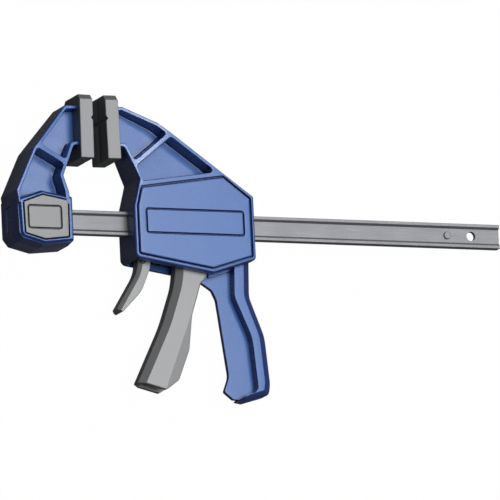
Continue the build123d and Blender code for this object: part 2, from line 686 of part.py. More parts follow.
with BuildPart() as jaw_body:
    with BuildSketch(HOUSING):
        rounded(housing_outline)
    extrude(amount=HALF, both=True)
    for front in (1, -1):
        split(bisect_by=taper_plane(HOUSING_X - 9.9, 1, front), keep=Keep.BOTTOM)
    trim_jaw_end(MOVING_PAD)
    sink(HOUSING, jaw_pockets, POCKET_WEB / 2)
    add_stud(MOVING_PAD)
    # chamber for the mechanism, and the cover's seat
    chamber = cover_region(HOUSING_WALL - RECESS_EDGE, BACK_WALL)
    extrude(chamber, amount=CLAMP_THICK, mode=Mode.SUBTRACT)
    recess = cover_region(0.0, COVER_LOW)
    extrude(recess, amount=CLAMP_THICK, mode=Mode.SUBTRACT)
    # opening under the chamber for the trigger and the lever
    block(HOUSING, (3.4, -60.0, -MOUTH_HALF), (MOUTH_END, -24.0, MOUTH_HALF), Mode.SUBTRACT)
    # handle: a wide flange behind a thin web, and a lip where it meets the housing
    add(handle.part)
    with BuildSketch(HOUSING):
        rounded([(66.5, -39.0, 0), (66.5, -42.6, 1.0), (87.5, -35.7, 0), (87.5, -32.5, 0)])
    extrude(amount=LIP_HALF, both=True)
    # groove on the back that matches the cover's edge on the front
    back_line = cover_region(0.0, -HALF) - cover_region(COVER_GROOVE, -HALF)
    extrude(back_line, amount=1.0, mode=Mode.SUBTRACT)
    # pillars, bosses and ribs inside
    for place in SCREW_PLACES:
        disc(HOUSING, place, BOSS / 2, BACK_WALL - 1, PILLAR_TOP)
    disc(HOUSING, LEVER_PIVOT, LEVER_PIN / 2 + 3.5, BACK_WALL - 1, BACK_WALL + BACK_BOSS)
    pivot_x, pivot_y = BRAKE_PIVOT
    notch_half = BRAKE_THICK / 2 + 0.7
    rib_top = COVER_LOW - RUN
    for low_x, high_x in ((pivot_x - notch_half - 2.6, pivot_x - notch_half),
                          (pivot_x + notch_half + 0.1, pivot_x + notch_half + 4.5)):
        block(HOUSING, (low_x, pivot_y - 3.5, BACK_WALL - 1), (high_x, pivot_y + 8.5, rib_top))
    block(
        HOUSING,
        (SPRING_POST[0], -BRAKE_SPRING_DROP - 15.0, BACK_WALL - 1),
        (SPRING_POST[1], -BAR_HEIGHT / 2 - 1.0, PILLAR_TOP),
    )
    # bar windows and holes
    block(
        HOUSING,
        (-5.0, -BAR_HEIGHT / 2 - 2 * RUN, -BAR_WIDTH / 2 - 2 * RUN),
        (HOUSING_LENGTH + 5, BAR_HEIGHT / 2 + 2 * RUN, BAR_WIDTH / 2 + 2 * RUN),
        mode=Mode.SUBTRACT,
    )
    disc(HOUSING, LEVER_PIVOT, LEVER_PIN / 2 + TIGHT, -HALF + 1.8, 0, Mode.SUBTRACT)
    for place in SCREW_PLACES:
        disc(HOUSING, place, SCREW / 2 + RUN, -HALF, PILLAR_TOP + 1, Mode.SUBTRACT)
        disc(HOUSING, place, SCREW_HEAD[0] / 2 + RUN, -HALF, -HALF + SCREW_SINK + SCREW_HEAD[1],
             Mode.SUBTRACT)
save(jaw_body, "jaw_body")

moving_pad = make_pad(MOVING_PAD)
save(moving_pad, "moving_pad")

with BuildPart() as side_cover:
    extrude(cover_region(COVER_GAP, COVER_LOW + SEAT), amount=COVER_FLANGE)
    panel = cover_region(COVER_GROOVE, COVER_LOW + COVER_FLANGE)
    extrude(panel, amount=COVER_THICK - COVER_FLANGE)
    with BuildSketch(HOUSING.offset(HALF)):
        with Locations((52.4, 0.2)):
            RectangleRounded(LABEL[0], LABEL[1], LABEL[2])
            RectangleRounded(LABEL[0] - 2 * LABEL_LINE, LABEL[1] - 2 * LABEL_LINE,
                             LABEL[2] - LABEL_LINE, mode=Mode.SUBTRACT)
    extrude(amount=-LABEL_DEPTH, mode=Mode.SUBTRACT)
    for place in SCREW_PLACES:
        disc(HOUSING, place, BOSS / 2, PILLAR_TOP + SEAT, COVER_LOW + 1)
        disc(HOUSING, place, SCREW / 2 + TIGHT, PILLAR_TOP, HALF - 3.0, Mode.SUBTRACT)
    disc(HOUSING, LEVER_PIVOT, LEVER_PIN / 2 + 3.5, LEVER_HALF + 0.3, COVER_LOW + 1)
    disc(HOUSING, LEVER_PIVOT, LEVER_PIN / 2 + TIGHT, 0, HALF - 1.8, Mode.SUBTRACT)
save(side_cover, "side_cover")

with BuildPart() as cover_screws:
    for place in SCREW_PLACES:
        head_low = -HALF + SCREW_SINK
        head_top = head_low + SCREW_HEAD[1] - SEAT
        disc(HOUSING, place, SCREW_HEAD[0] / 2, head_low, head_top)
        disc(HOUSING, place, SCREW / 2, head_top - 0.5, HALF - 4.0)
        with BuildSketch(HOUSING.offset(head_low)):
            with Locations(place):
                RegularPolygon(1.5, 6)
        extrude(amount=1.8, mode=Mode.SUBTRACT)
save(cover_screws, "cover_screws")

with BuildPart() as lever_pin:
    disc(HOUSING, LEVER_PIVOT, LEVER_PIN / 2, -HALF + 1.9, HALF - 1.9)
    chamfer(lever_pin.edges(), 0.4)
save(lever_pin, "lever_pin")


# ------------------------------------------------------------------ bar guides
def make_guide(low_x, high_x, height):
    """Wear insert with an opening of the bar's section."""
    with BuildPart() as guide:
        block(
            HOUSING,
            (low_x, -height / 2, BACK_WALL + SEAT),
            (high_x, height / 2, COVER_LOW - SEAT),
        )
        with BuildSketch(ACROSS.offset(HOUSING_X + low_x - 1)):
            Rectangle(BAR_HEIGHT + 2 * RUN, BAR_WIDTH + 2 * RUN)
            for front in (1, -1):
                inner = FLANGE_INNER - RUN
                polygon(
                    [
                        (-inner, front * (BAR_WIDTH / 2 + RUN)),
                        (-inner + FLANGE_SLOPE, front * (BAR_WEB / 2 + RUN)),
                        (inner - FLANGE_SLOPE, front * (BAR_WEB / 2 + RUN)),
                        (inner, front * (BAR_WIDTH / 2 + RUN)),
                    ],
                    mode=Mode.SUBTRACT,
                )
        extrude(amount=high_x - low_x + 2, mode=Mode.SUBTRACT)
    return guide


front_guide = make_guide(
    CHAMBER_FRONT + SEAT, CHAMBER_FRONT + GUIDE_LENGTH, GUIDE_HEIGHTS[0])
save(front_guide, "front_guide")
rear_guide = make_guide(
    CHAMBER_REAR - REAR_GUIDE_LENGTH - SEAT, CHAMBER_REAR - SEAT, GUIDE_HEIGHTS[1])
save(rear_guide, "rear_guide")

# ------------------------------------------------------------------ drive lever
lever_front = [
    (126.5 - 76, 22.0, 0),
    (120.5 - 76, 2.0, 0),
    (114.6 - 76, -36.0, 0),
    (112.6 - 76, -50.0, 60.0),
    (101.3 - 76, -82.0, 150.0),
    (78.4 - 76, -128.4, 1.5),
]
lever_outline = lever_front + [
    (100.4 - 76, -134.2, 1.0),
    (112.0 - 76, -126.0, 2.0),
    (121.9 - 76, -102.0, 12.0),
    (124.3 - 76, -74.5, 30.0),
    (133.2 - 76, -47.5, 3.0),
    (139.3 - 76, -42.8, 1.5),
    (136.8 - 76, -20.5, 0),
    (NOSE[0] + NOSE[2] - 0.6, NOSE[1] - 2.0, 0),
    (NOSE[0] + NOSE[2], NOSE[1], 0),
    (NOSE[0] + 2.0, NOSE[1] + 8.0, 0),
    (LEVER_PIVOT[0] + 6.0, LEVER_PIVOT[1], 0),
]
channel = [(x + LEVER_WALL, y, r) for x, y, r in lever_front[2:5]]
FACET = ((124.0 - 76, -74.5), (100.9 - 76, -132.7))    # inner edge of the rear facet
FACET_FALL = 0.32         # how fast the facet falls towards the rear
BRIDGE_TOP = -15.0        # the lever's front wall ends here, under the bar

with BuildPart() as drive_lever:
    with BuildSketch(HOUSING) as lever_shape:
        rounded(lever_outline)
        with Locations(LEVER_PIVOT):
            Circle(LEVER_EYE)
        with Locations(NOSE[:2]):
            Circle(NOSE[2])
    extrude(amount=LEVER_HALF, both=True)
    bevel([(115.4 - 76, -30.0, 0), (112.6 - 76, -50.0, 60.0), (101.3 - 76, -82.0, 150.0),
           (75.0 - 76, -135.3, 0)], LEVER_FACE)
    facet_run = Vector(FACET[1][0] - FACET[0][0], FACET[1][1] - FACET[0][1]).normalized()
    for front in (1, -1):
        facet_plane = Plane(
            origin=(HOUSING_X + FACET[0][0], FACET[0][1], MID + front * LEVER_HALF),
            z_dir=(-facet_run.Y * FACET_FALL, facet_run.X * FACET_FALL, front),
        )
        split(bisect_by=facet_plane, keep=Keep.BOTTOM)
    # channel, open to the rear and at the lower end
    with BuildSketch(HOUSING):
        rounded([(100.0, BRIDGE_TOP - LEVER_WALL, 0)]
                + [(channel[0][0], BRIDGE_TOP - LEVER_WALL, 0)]
                + channel
                + [(channel[-1][0] - 25.0, -150.0, 0), (100.0, -150.0, 0)])
        polygon([(20.0, BRIDGE_TOP), (20.0, 40.0), (100.0, 40.0), (100.0, BRIDGE_TOP - 20)],)
    extrude(amount=LEVER_INNER, both=True, mode=Mode.SUBTRACT)
    disc(HOUSING, LEVER_PIVOT, LEVER_PIN / 2 + PIN_FIT, -HALF, HALF, Mode.SUBTRACT)
save(drive_lever, "drive_lever")

# ------------------------------------------------------------------ drive plates and spring
PLATES_X = NOSE[0] + NOSE[2] + SEAT


def make_drive_plate(front_x):
    """Steel plate round the bar, with a little play in height so that it can tilt."""
    with BuildPart() as plate:
        with BuildSketch(ACROSS.offset(HOUSING_X + front_x)) as outline:
            with Locations(((PLATE_HIGH - PLATE_LOW) / 2, 0)):
                RectangleRounded(PLATE_HIGH + PLATE_LOW, PLATE_WIDTH, 2.0)
            Rectangle(BAR_HEIGHT + 4 * RUN, BAR_WIDTH + 4 * RUN, mode=Mode.SUBTRACT)
        extrude(amount=PLATE_THICK)
    return plate


drive_plate_front = make_drive_plate(PLATES_X)
save(drive_plate_front, "drive_plate_front")
drive_plate_rear = make_drive_plate(PLATES_X + PLATE_THICK + PLATE_GAP)
save(drive_plate_rear, "drive_plate_rear")

SPRING_START = HOUSING_X + PLATES_X + 2 * PLATE_THICK + PLATE_GAP + SEAT
SPRING_END = HOUSING_X + CHAMBER_REAR - REAR_GUIDE_LENGTH - 2 * SEAT
with BuildPart() as drive_spring:
    add(coil(ACROSS, SPRING_START, SPRING_END, SPRING_RADIUS, SPRING_WIRE, SPRING_TURNS))
save(drive_spring, "drive_spring")

# ------------------------------------------------------------------ brake plate and trigger
tilt = radians(BRAKE_TILT)
BRAKE = Plane(
    origin=(HOUSING_X + BRAKE_PIVOT[0], BRAKE_PIVOT[1], MID),
    x_dir=(0, 0, 1),
    z_dir=(-cos(tilt), sin(tilt), 0),
)
window_drop = BRAKE_PIVOT[1] / cos(tilt)
window_height = (BAR_HEIGHT + 4 * RUN + BRAKE_THICK * sin(tilt)) / cos(tilt)
BRAKE_SHOULDER = window_drop + window_height / 2 + 5.0
with BuildPart() as brake_plate:
    with BuildSketch(BRAKE):
        with Locations((0, (3.0 - BRAKE_SHOULDER) / 2)):
            Rectangle(PLATE_WIDTH, 3.0 + BRAKE_SHOULDER)
        with Locations((0, -(BRAKE_SHOULDER + BRAKE_TAIL[1]) / 2 + 1)):
            Rectangle(BRAKE_TAIL[0], BRAKE_TAIL[1] - BRAKE_SHOULDER + 2)
        with Locations((0, -window_drop)):
            Rectangle(BAR_WIDTH + 4 * RUN, window_height, mode=Mode.SUBTRACT)
    extrude(amount=BRAKE_THICK / 2, both=True)
    rivet_at = BRAKE.from_local_coords((0, -RIVET_FROM_PIVOT, 0))
    rivet_place = (rivet_at.X - HOUSING_X, rivet_at.Y)
    disc(HOUSING, rivet_place, RIVET / 2 + TIGHT, -HALF, HALF, Mode.SUBTRACT)
save(brake_plate, "brake_plate")

TRIGGER_TOP = -19.0
trigger_front = [
    (83.6 - 76, TRIGGER_TOP, 0),
    (82.4 - 76, -39.0, 30.0),
    (62.6 - 76, -70.2, 1.2),
]
with BuildPart() as release_trigger:
    with BuildSketch(HOUSING):
        rounded(trigger_front + [
            (66.4 - 76, -72.8, 1.2),
            (82.9 - 76, -55.2, 25.0),
            (91.6 - 76, -35.0, 30.0),
            (91.6 - 76, TRIGGER_TOP, 0),
        ])
    extrude(amount=TRIGGER_HALF, both=True)
    bevel([(83.7 - 76, TRIGGER_TOP + 2, 0), (82.4 - 76, -39.0, 30.0), (58.8 - 76, -76.2, 0)],
          TRIGGER_FACE)
    with BuildSketch(BRAKE):
        with Locations((0, -BRAKE_TAIL[1] / 2 - 10 - SEAT)):
            Rectangle(BRAKE_TAIL[0] + 2 * TIGHT, BRAKE_TAIL[1] - 20)
    extrude(amount=BRAKE_THICK / 2 + TIGHT, both=True, mode=Mode.SUBTRACT)
    disc(HOUSING, rivet_place, RIVET / 2 + TIGHT, -HALF, HALF, Mode.SUBTRACT)
save(release_trigger, "release_trigger")

with BuildPart() as trigger_rivet:
    disc(HOUSING, rivet_place, RIVET / 2, -TRIGGER_HALF, TRIGGER_HALF)
    for front in (1, -1):
        low, high = sorted((front * TRIGGER_HALF, front * (TRIGGER_HALF + 0.8)))
        disc(HOUSING, rivet_place, RIVET / 2 + 1.0, low, high)
save(trigger_rivet, "trigger_rivet")

foot_drop = (BRAKE_PIVOT[1] + BRAKE_SPRING_DROP) / cos(tilt)
spring_foot = BRAKE.from_local_coords((0, -foot_drop, 0)).X + BRAKE_THICK / 2 + 0.45
spring_line = Plane(origin=(0, -BRAKE_SPRING_DROP, MID), x_dir=(0, 1, 0), z_dir=(1, 0, 0))
with BuildPart() as brake_spring:
    add(coil(spring_line, spring_foot, HOUSING_X + SPRING_POST[0] - SEAT, *BRAKE_SPRING))
save(brake_spring, "brake_spring")
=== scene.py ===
"""Looks of a quick release bar clamp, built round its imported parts.

Sizes are in millimetres until a mesh is made. X runs along the bar, Y towards the jaws' tips and
Z from the back to the front. The outlines of the head and of the housing each have their own
origin, and AT_HEAD or AT_HOUSING moves them to their place when they are built.
"""

import json
from math import cos, pi, radians, sin

import bmesh
import bpy
import numpy as np
from mathutils import Matrix, Vector
from mathutils.geometry import delaunay_2d_cdt


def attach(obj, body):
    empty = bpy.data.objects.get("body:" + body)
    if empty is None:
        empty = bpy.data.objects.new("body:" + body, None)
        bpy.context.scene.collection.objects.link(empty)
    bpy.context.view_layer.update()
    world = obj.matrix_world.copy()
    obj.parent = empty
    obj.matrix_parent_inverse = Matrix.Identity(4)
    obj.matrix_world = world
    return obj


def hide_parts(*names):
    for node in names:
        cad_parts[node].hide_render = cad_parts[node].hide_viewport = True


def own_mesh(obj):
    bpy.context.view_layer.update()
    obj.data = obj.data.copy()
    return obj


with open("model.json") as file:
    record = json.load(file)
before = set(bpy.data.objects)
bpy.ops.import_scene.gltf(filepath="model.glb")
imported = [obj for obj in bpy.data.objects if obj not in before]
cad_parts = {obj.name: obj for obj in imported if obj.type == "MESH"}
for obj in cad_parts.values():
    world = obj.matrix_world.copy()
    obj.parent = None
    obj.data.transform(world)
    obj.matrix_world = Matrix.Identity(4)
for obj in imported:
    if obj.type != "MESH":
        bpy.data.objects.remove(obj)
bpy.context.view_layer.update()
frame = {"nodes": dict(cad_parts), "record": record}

MM = 0.001
MID = 18.0                # half the clamp's thickness, and the height of its middle plane
AT_BAR = (0.0, 0.0, MID)
AT_HEAD = (-2.7, 0.0, MID)
AT_HOUSING = (73.25, 0.0, MID)


# ------------------------------------------------------------------ camera
CAMERA_TARGET = (0.179, -0.0172, 0.018)      # metres
CAMERA_DISTANCE = 13.333                     # metres
CAMERA_BACK = (-0.374, -0.199, 0.906)        # direction from the target to the camera
CAMERA_UP = (-0.0325, 0.979, 0.2014)


def add_camera():
    """Long lens, looking down on the clamp's front from its left and a little from below."""
    back = Vector(CAMERA_BACK).normalized()
    up = Vector(CAMERA_UP)
    up = (up - back * up.dot(back)).normalized()
    right = up.cross(back)
    place = Vector(CAMERA_TARGET) + back * CAMERA_DISTANCE
    data = bpy.data.cameras.new("camera")
    data.lens = 1200.0
    data.sensor_width = 36.0
    data.clip_end = 60.0
    camera = bpy.data.objects.new("camera", data)
    rows = [[right[i], up[i], back[i], place[i]] for i in range(3)]
    camera.matrix_world = Matrix(rows + [[0, 0, 0, 1]])
    bpy.context.scene.collection.objects.link(camera)
    bpy.context.scene.camera = camera


add_camera()


# ------------------------------------------------------------------ materials
def linear(hex_colour):
    """sRGB hex colour as the linear RGBA that shaders take."""
    values = [int(hex_colour[i:i + 2], 16) / 255 for i in (1, 3, 5)]
    return [v / 12.92 if v <= 0.04045 else ((v + 0.055) / 1.055) ** 2.4 for v in values] + [1.0]


def put(tree, kind, inputs=None, **settings):
    """Add a node; inputs give a socket a value or a link from another node's socket."""
    new = tree.nodes.new(kind)
    for name, value in settings.items():
        setattr(new, name, value)
    for socket, value in (inputs or {}).items():
        if isinstance(value, bpy.types.NodeSocket):
            tree.links.new(value, new.inputs[socket])
        else:
            new.inputs[socket].default_value = value
    return new


def blank(name):
    """Empty material with its output node."""
    material = bpy.data.materials.new(name)
    material.use_nodes = True
    material.node_tree.nodes.clear()
    return material, put(material.node_tree, "ShaderNodeOutputMaterial")


def finish_with(material, output, surface):
    """Join a surface to a material's output and give the material back."""
    material.node_tree.links.new(surface.outputs[0], output.inputs["Surface"])
    return material


def moulded_plastic(name, base, shade, side_shade, worn_highlight, crease_shade, grain_mm, roughness, specular,
                    bump_mm):
    """Injection moulded plastic, drawn from its mould along Z.

    Faces across the draw have a mottled colour; walls and roundings along the draw are painted
    in a deeper colour, a painted shade. Corners are painted paler, partly as wear and partly as a
    painted highlight, and the creases are painted dark, a painted shade. A spark-eroded grain
    varies the gloss and the height all over.
    """
    material, output = blank(name)
    tree = material.node_tree
    place = put(tree, "ShaderNodeTexCoord").outputs["Object"]
    # mottling, in clouds about 45 mm wide
    clouds = put(tree, "ShaderNodeTexNoise", {"Vector": place, "Scale": 22.0, "Detail": 3.0})
    colour = put(tree, "ShaderNodeMix", {"Factor": clouds.outputs["Fac"],
                 "A": linear(base), "B": linear(shade)}, data_type="RGBA")
    # painted shade: walls and roundings along the draw are mixed towards a darker colour,
    # by how far a face leans out of the plane across the draw
    normal = put(tree, "ShaderNodeTexCoord").outputs["Normal"]
    upright = put(tree, "ShaderNodeSeparateXYZ", {"Vector": normal}).outputs["Z"]
    upright = put(tree, "ShaderNodeMath", {0: upright}, operation="ABSOLUTE")
    across = put(tree, "ShaderNodeMapRange", {"Value": upright.outputs[0], "From Min": 0.8,
                 "From Max": 0.98, "To Min": 0.0, "To Max": 1.0})
    drawn = put(tree, "ShaderNodeMix", {"Factor": across.outputs[0], "A": linear(side_shade),
                "B": colour.outputs["Result"]}, data_type="RGBA")
    # corners painted paler, partly wear and partly a painted highlight; then painted shade within
    # 4 mm of another face
    edges = put(tree, "ShaderNodeNewGeometry").outputs["Pointiness"]
    worn_highlight_share = put(tree, "ShaderNodeMapRange", {"Value": edges, "From Min": 0.55, "From Max": 0.65,
                 "To Min": 0.0, "To Max": 0.2})
    with_worn_highlight = put(tree, "ShaderNodeMix", {"Factor": worn_highlight_share.outputs[0],
                "A": drawn.outputs["Result"], "B": linear(worn_highlight)}, data_type="RGBA")
    # painted shade: creases, grooves and pocket walls are darkened where ambient occlusion finds
    # another face within 4 mm
    open_sky = put(tree, "ShaderNodeAmbientOcclusion", {"Distance": 4.0 * MM}, samples=6)
    crease_shade_share = put(tree, "ShaderNodeMapRange", {"Value": open_sky.outputs["AO"], "From Min": 0.3,
                "From Max": 0.75, "To Min": 0.85, "To Max": 0.0})
    crease_shaded = put(tree, "ShaderNodeMix", {"Factor": crease_shade_share.outputs[0],
                  "A": with_worn_highlight.outputs["Result"], "B": linear(crease_shade)}, data_type="RGBA")
    grain = put(tree, "ShaderNodeTexNoise", {"Vector": place, "Scale": 1000.0 / grain_mm,
                "Detail": 2.0, "Roughness": 0.6})
    gloss = put(tree, "ShaderNodeMapRange", {"Value": grain.outputs["Fac"],
                "To Min": roughness - 0.06, "To Max": roughness + 0.06})
    bump = put(tree, "ShaderNodeBump", {"Height": grain.outputs["Fac"], "Distance": bump_mm * MM,
               "Strength": 0.5})
    shader = put(tree, "ShaderNodeBsdfPrincipled", {"Base Color": crease_shaded.outputs["Result"],
                 "Roughness": gloss.outputs[0], "Normal": bump.outputs[0]})
    shader.inputs["Specular IOR Level"].default_value = specular
    return finish_with(material, output, shader)


def drawn_metal(name, base, streak, roughness, streak_mm, stretch):
    """Drawn or ground metal: fine streaks in colour, gloss and bump, which run along the axis
    that stretch makes small, or no way in particular where it is the same on all three."""
    material, output = blank(name)
    tree = material.node_tree
    place = put(tree, "ShaderNodeTexCoord").outputs["Object"]
    drawn = put(tree, "ShaderNodeMapping", {"Vector": place, "Scale": stretch})
    lines = put(tree, "ShaderNodeTexNoise", {"Vector": drawn.outputs[0],
                "Scale": 1000.0 / streak_mm, "Detail": 4.0, "Roughness": 0.65})
    # stains, in clouds about 25 mm wide
    clouds = put(tree, "ShaderNodeTexNoise", {"Vector": place, "Scale": 40.0, "Detail": 3.0})
    both = put(tree, "ShaderNodeMix", {"Factor": 0.35, "A": lines.outputs["Fac"],
               "B": clouds.outputs["Fac"]})
    colour = put(tree, "ShaderNodeMix", {"Factor": both.outputs[0], "A": linear(base),
                 "B": linear(streak)}, data_type="RGBA")
    gloss = put(tree, "ShaderNodeMapRange", {"Value": both.outputs[0],
                "To Min": roughness - 0.1, "To Max": roughness + 0.1})
    bump = put(tree, "ShaderNodeBump", {"Height": lines.outputs["Fac"], "Distance": 0.02 * MM,
               "Strength": 0.4})
    shader = put(tree, "ShaderNodeBsdfPrincipled", {"Base Color": colour.outputs["Result"],
                 "Roughness": gloss.outputs[0], "Normal": bump.outputs[0], "Metallic": 1.0})
    return finish_with(material, output, shader)


# Glass-filled nylon, blue: satin, with a grain left by the spark-eroded mould. The real grain is
# 0.1 mm across and doesn't show at this distance, so it is drawn 0.8 mm wide, as it is on the grey
# plastics too.
# Colours in turn: face, mottle, painted shade on walls and roundings, paler corners that are
# partly wear and partly a painted highlight, and painted shade in the creases.
BLUE_NYLON = moulded_plastic("blue_glass_filled_nylon", "#3F70BC", "#3A69B1", "#253872",
                             "#86A4E4", "#0B1038", grain_mm=0.8, roughness=0.26, specular=0.5,
                             bump_mm=0.015)
# The same nylon in grey for the lever and the trigger: a little rougher.
GREY_NYLON = moulded_plastic("grey_glass_filled_nylon", "#A6A8A9", "#9EA0A1", "#7A7C7D",
                             "#C8C9CA", "#1A1B1C", grain_mm=0.8, roughness=0.4, specular=0.5,
                             bump_mm=0.02)
# Acetal of the button: a darker grey, and smoother than the lever.
GREY_ACETAL = moulded_plastic("grey_acetal", "#8E8F91", "#88898B", "#3A3C3E", "#B8B9BA",
                              "#1A1B1C", grain_mm=0.8, roughness=0.36, specular=0.5,
                              bump_mm=0.015)
# Soft thermoplastic rubber of the pads: matt, with a weak, broad highlight; its grain of 0.15 mm
# is drawn 1 mm wide.
PAD_RUBBER = moulded_plastic("grey_thermoplastic_rubber", "#A4A5A8", "#9C9DA0", "#66686A",
                             "#BCBDBE", "#141415", grain_mm=1.0, roughness=0.5, specular=0.4,
                             bump_mm=0.03)
# Cold drawn steel bar: dull bright, with hair lines along its length, 0.2 mm apart in fact and
# drawn 0.6 mm apart.
BAR_STEEL = drawn_metal("cold_drawn_steel", "#87888B", "#77787C", roughness=0.6, streak_mm=0.6,
                        stretch=(0.03, 1.0, 1.0))
# Music wire: smooth and bright.
WIRE_STEEL = drawn_metal("bright_music_wire", "#B4B5B8", "#9FA0A4", roughness=0.3, streak_mm=0.5,
                         stretch=(1.0, 1.0, 1.0))
# Blackened spring steel plates, pins and screws: dark oxide, satin.
BLACK_STEEL = drawn_metal("black_oxide_steel", "#4A4B50", "#3A3B40", roughness=0.45,
                          streak_mm=0.5, stretch=(1.0, 0.1, 1.0))

SLOTS = {"body_blue": BLUE_NYLON, "lever_grey": GREY_NYLON, "pad_grey": PAD_RUBBER,
         "bar_steel": BAR_STEEL, "spring_steel": WIRE_STEEL, "plate_steel": BLACK_STEEL}


def dress_cad_nodes():
    """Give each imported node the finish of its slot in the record, replaced ones too."""
    for row in frame["record"]["subparts"]:
        node = frame["nodes"][row["node"]]
        node.data.materials.clear()
        node.data.materials.append(SLOTS[row["material_slot"]])


dress_cad_nodes()


# ------------------------------------------------------------------ springs
# Each coil spring would shorten towards its fixed end; here its node only gets a mesh of its own.
# Columns: joint, direction, fixed end in metres, and the share of its length that is left at the
# joint's limit, where the drive plates have come 9.2 mm towards that end, the brake plate 4.3 mm
# and the button 4.5 mm.
SPRINGS = {
    "drive_spring": ("drive_plate_slide", (1, 0, 0), (0.16575, 0, 0.018), 0.587),
    "brake_spring": ("trigger_hinge", (1, 0, 0), (0.0982, -0.0144, 0.018), 0.607),
    "button_springs": ("button_push", (0, 0, 1), (0, 0, 0.02405), 0.384),
}
for node, (joint, direction, fixed_end, share_left) in SPRINGS.items():
    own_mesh(frame["nodes"][node])


# ------------------------------------------------------------------ stage
CLAMP_MIDDLE_X = 0.18     # metres
FLOOR_HALF = 4.0          # metres
FLOOR_DROP = 0.0002       # metres; keeps the floor just clear of the clamp's back
LAMP_DISTANCE = 3.0       # metres


def white_share(tree, direct, mirrored):
    """How white the surroundings are for a ray: one share for what the camera sees, directly or
    through glass, another for what gloss mirrors, and none for the light on the clamp."""
    path = put(tree, "ShaderNodeLightPath").outputs
    seen = put(tree, "ShaderNodeMath", {0: path["Is Camera Ray"], 1: path["Is Transmission Ray"]},
               operation="MAXIMUM")
    seen = put(tree, "ShaderNodeMath", {0: seen.outputs[0], 1: direct}, operation="MULTIPLY")
    gloss = put(tree, "ShaderNodeMath", {0: path["Is Glossy Ray"], 1: mirrored},
                operation="MULTIPLY")
    return put(tree, "ShaderNodeMath", {0: seen.outputs[0], 1: gloss.outputs[0]},
               operation="MAXIMUM").outputs[0]


def add_floor():
    """Pale matt paint: white to the camera, faintly white in gloss, and it lights the clamp
    little."""
    h = FLOOR_HALF
    mesh = bpy.data.meshes.new("floor")
    mesh.from_pydata([(-h, -h, 0), (h, -h, 0), (h, h, 0), (-h, h, 0)], [], [(0, 1, 2, 3)])
    mesh.transform(Matrix.Translation((CLAMP_MIDDLE_X, 0, -FLOOR_DROP)))
    floor = bpy.data.objects.new("floor", mesh)
    bpy.context.scene.collection.objects.link(floor)
    material, output = blank("pale_matt_paint")
    tree = material.node_tree
    share = white_share(tree, direct=0.85, mirrored=0.05)
    paint = put(tree, "ShaderNodeBsdfDiffuse", {"Color": linear("#4C4C4C")})
    bright = put(tree, "ShaderNodeEmission", {"Color": linear("#FFFFFF"), "Strength": 1.16})
    mixed = put(tree, "ShaderNodeMixShader", {0: share, 1: paint.outputs[0],
                2: bright.outputs[0]})
    mesh.materials.append(finish_with(material, output, mixed))


def add_room():
    """Dim white room, which the camera sees as plain white."""
    world = bpy.data.worlds.new("studio")
    bpy.context.scene.world = world
    world.use_nodes = True
    tree = world.node_tree
    tree.nodes.clear()
    output = put(tree, "ShaderNodeOutputWorld")
    share = white_share(tree, direct=1.0, mirrored=0.18)
    room = put(tree, "ShaderNodeBackground", {"Color": linear("#FFFFFF"), "Strength": 0.05})
    white = put(tree, "ShaderNodeBackground", {"Color": linear("#FFFFFF"), "Strength": 1.0})
    both = put(tree, "ShaderNodeMixShader", {0: share, 1: room.outputs[0],
               2: white.outputs[0]})
    tree.links.new(both.outputs[0], output.inputs["Surface"])


def softbox(name, direction, size, watts, gloss_only=False):
    """Square lamp that faces the clamp's middle; one for gloss only adds no even light."""
    data = bpy.data.lights.new(name, "AREA")
    data.size = size
    data.energy = watts
    lamp = bpy.data.objects.new(name, data)
    aim = Vector(direction).normalized()
    lamp.location = Vector((CLAMP_MIDDLE_X, 0.0, MID * MM)) + aim * LAMP_DISTANCE
    lamp.rotation_euler = aim.to_track_quat("Z", "Y").to_euler()
    lamp.visible_camera = False
    lamp.visible_diffuse = not gloss_only
    bpy.context.scene.collection.objects.link(lamp)


add_floor()
add_room()
# A broad key lamp overhead, a weak one low at the right, and two small ones seen in gloss only.
softbox("key", (0.06, 0.03, 1.0), size=2.3, watts=81.0)
softbox("fill", (0.9, 0.8, 0.3), size=1.6, watts=22.0)
softbox("sheen", (0.16, 0.33, 0.93), size=0.5, watts=15.0, gloss_only=True)
softbox("right_sheen", (0.58, 0.33, 0.75), size=0.6, watts=8.0, gloss_only=True)
bpy.context.scene.view_settings.view_transform = "Standard"


# ------------------------------------------------------------------ surfaces
SIDE_STEP = 2.5           # longest part of an outline's side
LEAST_RADIUS = 0.02       # a sharp corner's
STRAIGHT_SINE = 1e-3      # a corner that turns less than this counts as straight
SHARP_EDGE = radians(38.0)
RIM = 0.35                # rounding of the openings for the cover and the button


def winding(points):
    """Twice the area in a closed line, the sum of x y' - x' y: positive where the line runs
    counter-clockwise, and negative where it runs clockwise."""
    ahead = np.roll(points, -1, 0)
    return np.sum(points[:, 0] * ahead[:, 1] - ahead[:, 0] * points[:, 1])


